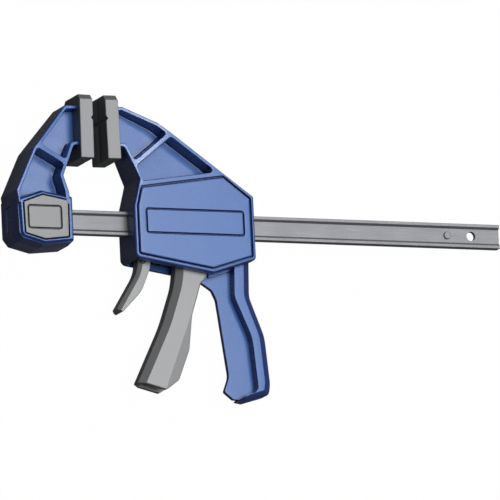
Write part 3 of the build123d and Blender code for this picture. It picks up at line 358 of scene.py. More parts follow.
def ring(corners, inset=0.0, arc=6, parts=None):
    """Closed outline parallel to a cornered one, as an (n, 2) array.

    Each side is moved inwards along its normal by the inset, or by its own one from a list, and
    neighbouring sides meet again where they cross. A corner of radius r becomes an arc of radius
    r - inset where the outline bulges and r + inset where it is hollow: point = centre + radius
    (cos a, sin a), with a running evenly from one side's normal to the next one's. Sides are
    divided evenly, into as many parts as the outline without inset has, or into those given. The
    ring always runs counter-clockwise.
    """
    table = np.array([(*c, 0.0)[:3] for c in corners], float)
    points, radii = table[:, :2], table[:, 2]
    inset = np.broadcast_to(np.asarray(inset, float), len(points))
    if winding(points) < 0:
        points, radii, inset = points[::-1], radii[::-1], np.roll(inset[::-1], -1)
    ahead = np.roll(points, -1, 0)
    length = np.linalg.norm(ahead - points, axis=1)
    along = (ahead - points) / length[:, None]
    before, inset_before = np.roll(along, 1, 0), np.roll(inset, 1)
    inward_before = np.stack([-before[:, 1], before[:, 0]], 1)
    sine = before[:, 0] * along[:, 1] - before[:, 1] * along[:, 0]
    turn = np.arctan2(sine, np.sum(before * along, 1))
    bent = np.abs(sine) > STRAIGHT_SINE
    crossing = (inset_before[:, None] * along - inset[:, None] * before) / np.where(
        bent, sine, 1.0)[:, None]
    mean = (inset + inset_before) / 2
    moved = points + np.where(bent[:, None], crossing, inward_before * mean[:, None])
    side = np.where(turn >= 0, 1.0, -1.0)
    rounding = np.maximum(radii - mean * side, LEAST_RADIUS)
    tangent = rounding * np.tan(np.abs(turn) / 2)
    start = moved - before * tangent[:, None]
    spoke = -inward_before * (rounding * side)[:, None]
    angle = turn[:, None] * np.linspace(0, 1, arc)[None]
    cross = np.stack([-spoke[:, 1], spoke[:, 0]], 1)
    arcs = ((start - spoke)[:, None] + np.cos(angle)[..., None] * spoke[:, None]
            + np.sin(angle)[..., None] * cross[:, None])
    if parts is None:
        parts = np.maximum(np.ceil(length / SIDE_STEP).astype(int), 1)
    pieces = []
    for i in range(len(points)):
        first, last = arcs[i, -1], arcs[(i + 1) % len(points), 0]
        share = np.linspace(0, 1, parts[i] + 1)[1:-1, None]
        pieces += [arcs[i], first + (last - first) * share]
    return np.concatenate(pieces)


def circle(x, y, radius):
    """Circle of 40 sides as an (n, 2) array: centre + radius (cos a, sin a)."""
    angle = np.linspace(0, 2 * pi, 40, endpoint=False)
    return np.stack([x + radius * np.cos(angle), y + radius * np.sin(angle)], 1)


def sheet(rows):
    """Quads over a (rows, columns, 3) grid of points, closed round each row."""
    rows = np.asarray(rows, float)
    count, width = rows.shape[:2]
    low = np.arange(count - 1)[:, None] * width
    column = np.arange(width)[None]
    right = (column + 1) % width
    quads = np.stack([low + column, low + right, low + width + right, low + width + column], -1)
    return rows.reshape(-1, 3), quads.reshape(-1, 4).tolist()


def lifted(loop, height):
    """A flat (n, 2) loop as (n, 3) points at a height."""
    return np.pad(loop, ((0, 0), (0, 1)), constant_values=height)


def carry(corners, profile, **how):
    """Surface of a profile carried round an outline: row k is the outline inset by profile[k][0]
    at the height profile[k][1]."""
    return sheet([lifted(ring(corners, inset, **how), height) for inset, height in profile])


def turned(x, y, profile):
    """Surface of revolution about an upright line: row k is a circle of radius profile[k][0] at
    the height profile[k][1]."""
    return sheet([lifted(circle(x, y, radius), height) for radius, height in profile])


def inside(points, loop):
    """True where a point lies in a closed loop: a ray from it crosses the loop an odd number of
    times."""
    (x, y), after = loop.T, np.roll(loop, -1, 0).T
    px, py = points[:, :1], points[:, 1:2]
    spans = (y[None] > py) != (after[1][None] > py)
    rise = np.where(after[1] == y, 1.0, after[1] - y)
    hits = px < (after[0] - x)[None] * (py - y[None]) / rise[None] + x[None]
    return np.sum(spans & hits, 1) % 2 == 1


def fill(height, outer, *holes):
    """Flat field at a height between an outer loop and the loops of its holes: a triangulation of
    all their points, less the faces whose middle lies outside the outer loop or in a hole."""
    loops = [outer, *holes]
    points = np.concatenate(loops)
    edges, first = [], 0
    for loop in loops:
        index = np.arange(len(loop))
        edges += np.stack([first + index, first + (index + 1) % len(loop)], 1).tolist()
        first += len(loop)
    found = delaunay_2d_cdt([Vector(p) for p in points], edges, [], 1, 1e-7)
    flat = np.array([tuple(p) for p in found[0]])
    faces = np.array([list(f) for f in found[2]])
    middle = flat[faces].mean(1)
    kept = inside(middle, outer)
    for hole in holes:
        kept &= ~inside(middle, hole)
    return lifted(flat, height), faces[kept].tolist()


def quarter(edge, height, up, steps=4, lip=False):
    """Profile of a rounded edge that ends in a face at a height: (inset, height) pairs.

    A quarter circle of radius edge: inset = edge (1 - cos a), height = face -+ edge (1 - sin a).
    Where edge gives each side its own radius, the heights follow the largest one. A lip is the
    same rounding round a hole, outside the hole's outline.
    """
    edge = np.asarray(edge, float)
    side = -1 if lip else 1
    return [(side * edge * (1 - cos(a)), height - up * edge.max() * (1 - sin(a)))
            for a in np.linspace(0, pi / 2, steps + 1)]


def block(corners, low, high, edge):
    """Closed solid between two heights with an outline and rounded edges."""
    profile = quarter(edge, low, -1)[::-1] + quarter(edge, high, 1)
    loop = ring(corners, edge)
    return [carry(corners, profile), fill(low, loop), fill(high, loop)]


def bore(x, y, profile):
    """Closed solid of revolution: a profile's surface with both of its ends filled."""
    ends = [fill(height, circle(x, y, radius)) for radius, height in (profile[0], profile[-1])]
    return [turned(x, y, profile), *ends]


def box(x0, y0, x1, y1, radius=0.0):
    """Four corners of a rectangle, rounded by a radius."""
    return [(x0, y0, radius), (x1, y0, radius), (x1, y1, radius), (x0, y1, radius)]


def mapped(patches, rule):
    """The same patches with their points moved by a rule on whole arrays."""
    return [(rule(points), faces) for points, faces in patches]


def along_x(points):
    """Rule that lays an outline down: it was drawn in (Y, Z), and its height runs along X."""
    return points[:, [2, 0, 1]]


def shade_smooth(mesh):
    """Smooth faces, with the edges left sharp that turn more than SHARP_EDGE."""
    mesh.shade_smooth()
    mesh.set_sharp_from_angle(angle=SHARP_EDGE)


def build(name, patches, place):
    """Join patches into one welded mesh object, in metres, with its faces pointing outwards."""
    points = np.concatenate([p for p, _ in patches]) + np.array(place)
    faces, first = [], 0
    for patch, patch_faces in patches:
        faces += [[first + i for i in face] for face in patch_faces]
        first += len(patch)
    mesh = bpy.data.meshes.new(name)
    mesh.from_pydata((points * MM).tolist(), [], faces)
    work = bmesh.new()
    work.from_mesh(mesh)
    bmesh.ops.remove_doubles(work, verts=work.verts, dist=2e-6)
    bmesh.ops.dissolve_degenerate(work, edges=work.edges, dist=1e-7)
    bmesh.ops.recalc_face_normals(work, faces=work.faces)
    work.to_mesh(mesh)
    work.free()
    shade_smooth(mesh)
    piece = bpy.data.objects.new(name, mesh)
    bpy.context.scene.collection.objects.link(piece)
    return piece


def cut(piece, *tools):
    """Take the tools' solids out of a piece and delete them."""
    for tool in tools:
        step = piece.modifiers.new("cut", "BOOLEAN")
        step.object = tool
        step.solver = "EXACT"
    graph = bpy.context.evaluated_depsgraph_get()
    mesh = bpy.data.meshes.new_from_object(piece.evaluated_get(graph))
    piece.modifiers.clear()
    piece.data = mesh
    shade_smooth(mesh)
    for tool in tools:
        bpy.data.objects.remove(tool)


def finished(piece, material, slot, body, *nodes):
    """Material and body of a new piece, the nodes it stands for, and even flat faces.
    Its slot is not used.
    """
    piece.data.materials.clear()
    piece.data.materials.append(material)
    even = piece.modifiers.new("even_flat_faces", "WEIGHTED_NORMAL")
    even.keep_sharp = True
    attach(piece, body)
    if nodes:
        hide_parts(*nodes)


# ------------------------------------------------------------------ both jaws' arms
JAW_TOP = 93.8
TIP_HALF = 11.5           # half the jaws' thickness at the pads
TAPER_AWAY, TAPER_DOWN = 0.125, 0.078   # slopes of the taper, away from the pad and downwards
TAPER_BLEND = 0.5         # mm over which the taper sets in
LIP = 0.7                 # rounding of the pockets' edges
POCKET_FLOOR = 1.5        # half the web between the front and back pockets


def jaw_taper(pad_x, side):
    """Rule that thins a jaw towards its pad: heights over the pocket floors shrink by as much as
    a plane, rising away from the pad and downwards, lies below the full thickness."""
    def rule(points):
        x, y, z = points.T
        half = TIP_HALF + TAPER_AWAY * side * (x - pad_x) + TAPER_DOWN * (JAW_TOP - y)
        fall = np.logaddexp(0.0, (MID - half) / TAPER_BLEND) * TAPER_BLEND
        share = np.clip((np.abs(z) - POCKET_FLOOR) / (MID - 2 * POCKET_FLOOR), 0, 1)
        return np.stack([x, y, z - np.sign(z) * fall * share], 1)
    return rule


def pocket(corners, front):
    """Recess in the front (1) or back (-1) face, with a rounded lip, a drafted wall and a rounded
    floor edge."""
    base = front * POCKET_FLOOR
    profile = quarter(LIP, front * MID, front, lip=True)[::-1]
    profile += [(0.35, base + front * 1.0), (0.65, base + front * 0.3), (1.3, base)]
    return [carry(corners, profile), fill(base, ring(corners, profile[-1][0]))]


def slab(outline, edges, pockets, *openings):
    """Solid over the full thickness: a wall with a rounding for each side, and in both faces the
    same pockets and openings."""
    patches = [carry(outline, quarter(edges, -MID, -1, 6)[::-1] + quarter(edges, MID, 1, 6))]
    outer, lips = ring(outline, edges), [ring(corners, -LIP) for corners in pockets]
    for front in (1, -1):
        patches.append(fill(front * MID, outer, *lips, *openings))
        for corners in pockets:
            patches += pocket(corners, front)
    return patches


# ------------------------------------------------------------------ housing, jaw and handle
HOUSING_OUTLINE = [
    (0.0, -30.0, 5.0), (66.5, -41.0, 6.0), (103.8, -28.7, 3.6), (103.8, 22.6, 2.5),
    (24.5, 80.7, 3.0), (-3.5, 93.6, 3.0), (-13.7, 93.85, 0.6), (-13.3, 61.35, 0.6),
    (-4.8, 60.0, 2.5), (6.1, 34.6, 3.0), (0.0, 11.3, 4.0),
]
# rounding of the outer edge along each side, from the first corner on
HOUSING_EDGES = [2.3, 1.9, 1.7, 0.9, 0.9, 0.9, 0.9, 0.9, 1.0, 1.7, 2.2]
LOWER_POCKET = [(5.0, 45.2, 2.2), (9.3, 32.5, 2.2), (72.2, 41.8, 2.2), (34.8, 69.2, 2.2)]
UPPER_POCKET = [
    (-2.6, 62.9, 3.0), (3.3, 49.1, 2.2), (31.3, 71.8, 1.8), (22.9, 77.9, 3.0),
    (-4.2, 90.4, 2.5), (-10.4, 90.6, 2.2), (-10.0, 64.1, 2.2),
]
COVER_EDGE = [
    (6.9, 28.4, 2.5), (78.1, 39.1, 2.5), (101.4, 21.2, 2.5), (101.4, -26.9, 2.5),
    (66.7, -38.0, 2.5), (2.8, -27.4, 2.5), (2.8, 12.2, 2.5),
]
SCREW_PLACES = [(28.0, 22.0), (84.0, 22.5), (86.5, -24.4), (28.5, -25.0)]
BACK_WALL = -13.8         # floor of the chamber
COVER_SEAT = 13.5
WALL_INSET = 1.8          # from the cover's edge to the chamber's wall
SCREW_RECESS = 3.85       # radius of the recess for a screw's head
SCREW_DEPTH = 3.2
BAR_GAP_HALF = (10.05, 4.3)    # half height and half width of the passage for the bar
LEVER_PIN = (55.0, 19.5)


def make_housing():
    """One moulding: outer wall, pockets of the jaw's arm, and the chamber behind the cover."""
    patches = slab(HOUSING_OUTLINE, HOUSING_EDGES, [LOWER_POCKET, UPPER_POCKET],
                   ring(COVER_EDGE, -RIM))
    # chamber: rounded rim, seat of the cover, wall and floor
    floor_inset = WALL_INSET + 1.0
    chamber = quarter(RIM, MID, 1, lip=True)[::-1] + [
        (0.0, COVER_SEAT), (WALL_INSET, COVER_SEAT), (WALL_INSET, BACK_WALL + 1.0),
        (WALL_INSET + 0.3, BACK_WALL + 0.3), (floor_inset, BACK_WALL)]
    patches += [carry(COVER_EDGE, chamber), fill(BACK_WALL, ring(COVER_EDGE, floor_inset))]
    # back face: a groove follows the cover's edge, and the screws' heads lie in round recesses
    groove = [(-RIM, -MID), (0.0, -MID + 0.2), (0.1, -MID + 1.0), (1.4, -MID + 1.0),
              (1.6, -MID + 0.2), (2.0, -MID)]
    rims = [circle(x, y, SCREW_RECESS + 0.4) for x, y in SCREW_PLACES]
    patches += [carry(COVER_EDGE, groove), fill(-MID, ring(COVER_EDGE, groove[-1][0]), *rims)]
    recess = [(SCREW_RECESS + 0.4, -MID), (SCREW_RECESS + 0.12, -MID + 0.12),
              (SCREW_RECESS, -MID + 0.4), (SCREW_RECESS, -MID + SCREW_DEPTH)]
    for x, y in SCREW_PLACES:
        patches += [turned(x, y, recess), fill(recess[-1][1], circle(x, y, SCREW_RECESS))]
    piece = build("jaw_housing", mapped(patches, jaw_taper(-9.9, 1)), AT_HOUSING)
    # openings: under the chamber for the lever and the trigger, and through both ends for the bar
    mouth = block(box(3.4, -60, 81.8, -24, 1), -11.5, 11.5, 0.8)
    tall, wide = BAR_GAP_HALF
    passage = block(box(-5, -tall, 109, tall), -wide, wide, 0.05)
    cut(piece, *[build("tool", tool, AT_HOUSING) for tool in (mouth, passage)])
    finished(piece, BLUE_NYLON, "body_blue", "sliding_jaw", "jaw_body")


def make_chamber_posts():
    """Screw pillars, the lever pin's boss, ribs and the spring's post on the chamber's floor."""
    root = BACK_WALL - 1.0    # they start a little inside the wall
    pillar = [(4.5, root), (4.4, 3.6), (4.0, 4.0), (2.15, 4.0), (2.15, root)]
    patches = [turned(x, y, pillar) for x, y in SCREW_PLACES]
    patches += block(box(48.5, 13.0, 61.5, 26.0, 3.0), root, -10.6, 0.4)
    for low, high in ((10.45, 13.05), (18.05, 22.45)):
        patches += block(box(low, 17.5, high, 29.5), root, 13.35, 0.4)
    patches += block(box(25.0, -29.4, 32.0, -10.75), root, 4.0, 0.5)
    piece = build("chamber_posts", patches, AT_HOUSING)
    finished(piece, BLUE_NYLON, "body_blue", "sliding_jaw")


# Flange of the handle: its inner sides are nearly square, its outer sides have a wide bevel.
FLANGE_HALF = 11.0
HANDLE_FLANGE = [
    (86.8, -33.0, 0), (85.9, -58.0, 15.0), (99.6, -91.0, 36.0), (103.2, -133.9, 5.5),
    (90.8, -139.0, 6.0), (87.4, -141.5, 0.3), (93.6, -142.6, 1.0), (114.3, -136.4, 5.0),
    (115.8, -127.5, 30.0), (112.7, -89.0, 40.0), (101.0, -57.0, 18.0), (102.0, -28.6, 0),
]
FLANGE_SIDES = "iiiiibboooot"      # inner, bottom, outer and top sides, from the first corner on
# each row: half width, then the insets of the inner sides, the bottom and the outer sides
FLANGE_ROWS = [
    (0.0, 0.0, 0.0, 0.0), (4.5, 0.0, 0.0, 0.0), (5.0, 0.0, 0.0, 0.12), (5.6, 0.0, 0.0, 0.6),
    (8.6, 0.0, 1.6, 4.0), (9.4, 0.0, 2.5, 4.9), (10.3, 0.0, 3.6, 5.9), (10.7, 0.1, 4.1, 6.4),
    (10.92, 0.3, 4.5, 6.7), (FLANGE_HALF, 0.5, 4.8, 7.0),
]
HANDLE_WEB = [
    (68.0, -38.4, 0), (60.8, -45.6, 0.6), (70.4, -52.0, 5.0), (73.9, -59.8, 12.0),
    (81.6, -122.0, 14.0), (77.0, -134.2, 2.0), (84.5, -140.3, 1.5), (93.0, -141.0, 0.5),
    (108.0, -133.0, 1.0), (105.0, -92.0, 20.0), (93.0, -60.0, 12.0), (93.0, -31.0, 0),
]
WEB_HALF = 2.4
HANDLE_LIP = [(66.5, -38.0, 0.3), (66.5, -42.6, 1.0), (87.5, -35.7, 0.3), (87.5, -31.5, 0.3)]
LIP_HALF = 4.6


def make_handle():
    """Rear handle: a bevelled flange behind a thin web, and the lip where it meets the housing."""
    rows = []
    for front in (-1, 1):
        for half, inner, bottom, outer in FLANGE_ROWS[::front]:
            insets = [{"i": inner, "b": bottom, "o": outer, "t": 0.0}[s] for s in FLANGE_SIDES]
            rows.append(lifted(ring(HANDLE_FLANGE, insets), front * half))
    flange = [sheet(rows), fill(-FLANGE_HALF, rows[0][:, :2]), fill(FLANGE_HALF, rows[-1][:, :2])]
    web = block(HANDLE_WEB, -WEB_HALF, WEB_HALF, 0.5)
    lip = block(HANDLE_LIP, -LIP_HALF, LIP_HALF, 0.5)
    for name, patches in (("handle_flange", flange), ("handle_web", web), ("handle_lip", lip)):
        finished(build(name, patches, AT_HOUSING), BLUE_NYLON, "body_blue", "sliding_jaw")


def line_frame(x, y, length, height, radius, top, width, depth):
    """Engraved V line round a rectangle with rounded corners: its surface and its two loops. Its
    rims are rounded over a brink outside its width, and its bottom is 0.2 mm wide."""
    brink = 0.12
    corners = box(x - length / 2, y - height / 2, x + length / 2, y + height / 2, radius)
    near = [(-brink, 0.0), (0.03, 0.05), (0.14, 0.2), (width / 2 - 0.1, depth)]
    far = [(width - inset, fall) for inset, fall in near[::-1]]
    profile = [(inset, top - fall) for inset, fall in near + far]
    return carry(corners, profile), ring(corners, -brink), ring(corners, width + brink)


def make_side_cover():
    """Cover: a flange in the housing's seat, a raised panel with an engraved frame, and bosses
    inside for the screws and for the lever's pin."""
    gap, groove, shoulder = 0.15, 0.95, 1.8
    low, step, top = COVER_SEAT + 0.05, 15.4, MID
    profile = [(gap, low), (gap, step - 0.1), (gap + 0.1, step), (groove, step),
               (groove, top - shoulder)]
    profile += [(groove + inset, height) for inset, height in quarter(shoulder, top, 1, 6)[1:]]
    frame_line, outer, inner = line_frame(52.4, 0.2, 85.2, 21.4, 2.8, top, 2.0, 1.6)
    patches = [carry(COVER_EDGE, profile), fill(low, ring(COVER_EDGE, gap)), frame_line,
               fill(top, ring(COVER_EDGE, groove + shoulder), outer), fill(top, inner)]
    root = low + 0.5          # the bosses start a little inside the panel
    screw_boss = [(2.1, root), (2.1, 4.05), (4.1, 4.05), (4.5, 4.4), (4.5, root)]
    pin_boss = [(3.1, root), (3.1, 10.6), (6.2, 10.6), (6.5, 10.9), (6.5, root)]
    patches += [turned(x, y, screw_boss) for x, y in SCREW_PLACES]
    patches.append(turned(*LEVER_PIN, pin_boss))
    piece = build("cover_panel", patches, AT_HOUSING)
    finished(piece, BLUE_NYLON, "body_blue", "sliding_jaw", "side_cover")


make_housing()
make_chamber_posts()
make_handle()
make_side_cover()


# ------------------------------------------------------------------ head with the fixed jaw
ARM_OUTLINE = [
    (-22.4, 11.0, 0), (-24.0, 21.5, 1.0), (-7.5, 56.5, 3.0), (22.5, 93.0, 3.0), (37.2, 93.85, 0.6),
    (36.75, 61.35, 0.6), (28.3, 59.9, 2.5), (17.3, 34.7, 3.0), (21.4, 21.5, 2.0), (22.2, 11.0, 0),
]
ARM_EDGES = [1.3, 1.3, 1.3, 0.9, 0.9, 0.9, 0.9, 0.9, 0.9, 0.9]
ARM_LOWER_POCKET = [
    (-20.5, 12.5, 0.8), (18.1, 12.5, 0.8), (17.9, 21.2, 1.6), (13.9, 34.9, 4.0),
    (18.0, 44.3, 2.2), (-4.2, 56.6, 2.2), (-20.7, 20.6, 1.2),
]
ARM_UPPER_POCKET = [
    (-0.9, 59.6, 2.2), (19.7, 48.2, 2.2), (26.1, 62.7, 3.0), (34.9, 64.3, 1.0),
    (35.3, 90.7, 1.0), (24.1, 90.0, 2.2),
]
HEAD_BACK = [
    (-24.0, 17.0, 0.5), (-24.0, -12.5, 3.0), (-19.5, -18.4, 3.0), (-1.5, -23.0, 3.0),
    (24.2, -20.4, 2.0), (24.2, 18.6, 0.5), (-2.0, 22.8, 0.5),
]
HEAD_FRONT = [
    (-22.2, 14.8, 0.8), (-21.2, -12.9, 2.0), (-18.8, -16.4, 2.0), (-1.0, -21.4, 3.0),
    (24.2, -18.4, 2.0), (24.2, 17.2, 0.8), (-2.0, 21.7, 0.8),
]
HEAD_PARTS = [8, 2, 6, 8, 12, 8, 8]      # of each side, so that both outlines match
SKIRT = 4.0                              # the head is drawn in above this height
SLOPE_SHARES = [0.0, 0.04, 0.45, 0.82]   # of the way from the back outline to the front one
# each row: inset of the front rim, and drop below the front face
HEAD_RIM = [(0.2, 2.3), (0.6, 1.6), (1.1, 0.75), (1.45, 0.28), (1.75, 0.06), (2.1, 0.0)]
BUTTON_EDGE = [
    (-18.8, 12.6, 2.0), (-18.2, -13.8, 2.0), (-1.0, -18.6, 2.0), (20.3, -16.0, 2.0),
    (20.7, 14.9, 2.0), (-1.8, 19.0, 2.0),
]
BUTTON_FLOOR = 6.0
LOCK_X = 2.7              # the lock pin's place among the head's outlines
HEAD_BACK_EDGE = 1.1


def make_arm():
    """Arm of the fixed jaw: two pockets on each face, thinner towards the pad."""
    patches = slab(ARM_OUTLINE, ARM_EDGES, [ARM_LOWER_POCKET, ARM_UPPER_POCKET])
    piece = build("fixed_jaw_arm", mapped(patches, jaw_taper(33.3, -1)), AT_HEAD)
    finished(piece, BLUE_NYLON, "body_blue", "bar_assembly")


def make_head():
    """Head: rows of points run from the back outline up to the skirt's top, on to the smaller
    front outline, and round the front rim to the button's opening."""
    back, front = (ring(outline, parts=HEAD_PARTS) for outline in (HEAD_BACK, HEAD_FRONT))
    rows = [lifted(ring(HEAD_BACK, inset, parts=HEAD_PARTS), height)
            for inset, height in [*quarter(HEAD_BACK_EDGE, -MID, -1)[::-1], (0.0, SKIRT - 0.8)]]
    rows += [lifted((1 - share) * back + share * front, SKIRT + share * (MID - SKIRT))
             for share in SLOPE_SHARES]
    rows += [lifted(ring(HEAD_FRONT, inset, parts=HEAD_PARTS), MID - drop)
             for inset, drop in HEAD_RIM]
    opening = quarter(RIM, MID, 1, lip=True)[::-1] + [(0.0, BUTTON_FLOOR)]
    patches = [sheet(rows), fill(-MID, rows[0][:, :2]),
               fill(MID, rows[-1][:, :2], ring(BUTTON_EDGE, -RIM)),
               carry(BUTTON_EDGE, opening), fill(BUTTON_FLOOR, ring(BUTTON_EDGE))]
    piece = build("head_moulding", patches, AT_HEAD)
    # passage of the bar, slot of the latch, seat of the back plate, shafts of the button's legs
    # and bore of the lock pin
    tools = [block(box(-22.8, -9.9, 60.0, 9.9), -4.15, 4.15, 0.05),
             block(box(LOCK_X - 6.65, -16.2, LOCK_X + 6.65, 16.2), -17.0, -8.1, 0.05),
             block(box(LOCK_X - 14.15, -18.15, LOCK_X + 14.15, 18.15, 3.0), -19.0, -15.5, 0.05)]
    tools += [block(box(LOCK_X - 4.15, low, LOCK_X + 4.15, high), -9.0, 7.0, 0.05)
              for low, high in ((11.25, 15.15), (-15.15, -11.25))]
    tools.append(bore(LOCK_X, 0, [(3.65, -9.0), (3.65, 0.0)]))
    # shallow recess in the head's end, round the bar's end
    tools.append(mapped(block(box(-10.4, -6.0, 11.0, 6.0, 1.5), -25.0, -23.3, 0.15), along_x))
    cut(piece, *[build("tool", tool, AT_HEAD) for tool in tools])
    finished(piece, BLUE_NYLON, "body_blue", "bar_assembly", "fixed_jaw")


def make_button():
    """Button: a six-sided plate with an engraved frame, on two legs that carry the latch."""
    low, top = 13.4, 18.3
    gap, edge, back_edge = 0.75, 0.9, 0.3
    profile = [(gap + inset, height) for inset, height in
               quarter(back_edge, low, -1)[::-1] + quarter(edge, top, 1)]
    frame_line, outer, inner = line_frame(-0.6, 0.0, 29.8, 20.0, 2.8, top, 1.7, 1.3)
    patches = [carry(BUTTON_EDGE, profile), fill(low, ring(BUTTON_EDGE, gap + back_edge)),
               frame_line, fill(top, ring(BUTTON_EDGE, gap + edge), outer), fill(top, inner)]
    for side in (1, -1):
        near, far = sorted((side * 11.4, side * 15.0))
        patches += block(box(LOCK_X - 4.0, near, LOCK_X + 4.0, far), -8.1, low + 0.5, 0.3)
        # thinner foot of the leg, in the latch
        near, far = sorted((side * 12.1, side * 14.3))
        patches += block(box(LOCK_X - 2.5, near, LOCK_X + 2.5, far), -10.55, -7.5, 0.1)
    piece = build("button_plate", patches, AT_HEAD)
    finished(piece, GREY_ACETAL, "lever_grey", "button", "push_button")


make_arm()
make_head()
make_button()


# ------------------------------------------------------------------ pads
PAD_MID = 76.0            # Y of the pads' middle
PAD_HALF = 26.0
PAD_THICK = 11.3
PAD_CHAMFER = 4.6
TOE_IN = radians(0.8)     # the pads lean towards each other at their tops


def make_pad(name, body, node, face_x, side):
    """Slip-on pad with its clamping face at face_x and its back on that side of it.

    A chamfered block is carried from the face to the back, and two V grooves cross on the face.
    All are drawn as (across, height, depth), then turned by the pad's lean and put in place.
    """
    low = -PAD_HALF - 0.5
    outline = [(-MID, low, 0.9), (MID, low, 0.9), (MID, PAD_HALF - PAD_CHAMFER, 0.9),
               (MID - PAD_CHAMFER, PAD_HALF, 0.9), (PAD_CHAMFER - MID, PAD_HALF, 0.9),
               (-MID, PAD_HALF - PAD_CHAMFER, 0.9)]

    def into_place(points):
        across, height, depth = points.T
        x = face_x + side * depth * cos(TOE_IN) - side * height * sin(TOE_IN)
        y = PAD_MID + depth * sin(TOE_IN) + height * cos(TOE_IN)
        return np.stack([x, y, across + MID], 1)

    solid = block(outline, 0.0, PAD_THICK, 0.8)
    level = block([(2.4, -1.2), (10.4, -1.2), (6.4, 2.0, 0.3)], -30.0, 30.0, 0.02)
    level = mapped(level, along_x)
    upright = block([(-5.5, -1.0), (5.5, -1.0), (0.0, 1.2, 0.3)], -40.0, 40.0, 0.02)
    upright = mapped(upright, lambda points: points[:, [0, 2, 1]])
    piece = build(name, mapped(solid, into_place), (0, 0, 0))
    cut(piece, *[build("tool", mapped(groove, into_place), (0, 0, 0))
                 for groove in (level, upright)])
    finished(piece, PAD_RUBBER, "pad_grey", body, node)


make_pad("fixed_pad_rubber", "bar_assembly", "fixed_pad", 41.8, -1)
make_pad("moving_pad_rubber", "sliding_jaw", "moving_pad", 53.0, 1)


# ------------------------------------------------------------------ bar
BAR_START, BAR_STOP = -25.4, 395.0
BAR_BREAK = 0.25          # chamfer of the cut ends
BAR_SECTION = [
    (-9.75, -4.0, 0.5), (-9.75, 4.0, 0.5), (-7.35, 4.0, 0.4), (-5.75, 2.0, 0.6),
    (5.75, 2.0, 0.6), (7.35, 4.0, 0.4), (9.75, 4.0, 0.5), (9.75, -4.0, 0.5), (7.35, -4.0, 0.4),
    (5.75, -2.0, 0.6), (-5.75, -2.0, 0.6), (-7.35, -4.0, 0.4),
]
BAR_PARTS = [3, 3, 1, 1, 6, 1, 3, 3, 1, 1, 6, 1]     # of each side of the section
BAR_HOLES = [(0.0, 3.75), (370.7, 3.75), (349.9, 3.0)]    # X, radius: lock pin, end, stop pin


def make_bar():
    """I-section carried along X, with its cut ends broken and the rims of its holes flared."""
    stations = np.linspace(BAR_START, BAR_STOP, 43)[1:-1]
    rows = [(BAR_BREAK, BAR_START), (0.0, BAR_START + BAR_BREAK), *((0.0, x) for x in stations),
            (0.0, BAR_STOP - BAR_BREAK), (BAR_BREAK, BAR_STOP)]
    end = ring(BAR_SECTION, BAR_BREAK, parts=BAR_PARTS)
    patches = [carry(BAR_SECTION, rows, parts=BAR_PARTS), fill(BAR_START, end),
               fill(BAR_STOP, end)]
    piece = build("bar_profile", mapped(patches, along_x), AT_BAR)
    tools = []
    for x, radius in BAR_HOLES:
        flare = [(radius + 1.1, -3.0), (radius + 0.1, -2.0), (radius, -1.9), (radius, 1.9),
                 (radius + 0.1, 2.0), (radius + 1.1, 3.0)]
        tools.append(build("tool", bore(x, 0, flare), AT_BAR))
    cut(piece, *tools)
    finished(piece, BAR_STEEL, "bar_steel", "bar_assembly", "bar")


make_bar()


# ------------------------------------------------------------------ lever and trigger
LEVER_FRONT = [(40.8, -22.0, 0), (38.6, -36.0, 12.0), (36.6, -50.0, 60.0), (25.3, -82.0, 150.0),
               (2.0, -129.4, 0)]
LEVER_REAR = [(61.1, -22.0, 0), (63.9, -42.6, 1.6), (58.2, -47.5, 4.0), (49.3, -74.5, 30.0),
              (46.7, -102.0, 12.0), (36.8, -126.6, 2.0), (24.8, -135.4, 0)]
LEVER_HALF = 10.3         # half width over the side walls
LEVER_FACE = 5.0          # half width of the front face, between its bevels
LEVER_INNER = 5.7         # half width of the channel
LEVER_WALL = 3.6          # thickness of the front wall
LEVER_REAR_EDGE = 0.9     # a facet begins no nearer to the side walls' rear edge
FACET_LINE = ((48.0, -74.5), (24.9, -132.7))    # where the rear facets begin
FACET_FALL = 0.32         # slope of the rear facets
FAR_ASIDE = 400.0         # clear of every grip


def open_line(corners, count):
    """Points evenly along an open line with rounded corners, as a (count, 2) array.

    The line is closed by sides that run far to the left and back. Of the ring round that shape,
    the stretch between the line's two ends is kept, and its length is shared out evenly.
    """
    start, end = (np.array(corners[i][:2]) for i in (0, -1))
    outline = [*corners, (end[0] - FAR_ASIDE, end[1], 0), (start[0] - FAR_ASIDE, start[1], 0)]
    closed = ring(outline, parts=[40] * len(outline))
    first = np.argmin(np.linalg.norm(closed - start, axis=1))
    if winding(np.array([corner[:2] for corner in outline])) < 0:
        closed, first = closed[::-1], len(closed) - 1 - first
    line = np.roll(closed, -first, 0)
    line = line[:np.argmin(np.linalg.norm(line - end, axis=1)) + 1]
    reach = np.concatenate([[0], np.cumsum(np.linalg.norm(np.diff(line, axis=0), axis=1))])
    wanted = np.linspace(0, reach[-1], count)
    return np.stack([np.interp(wanted, reach, line[:, i]) for i in (0, 1)], 1)


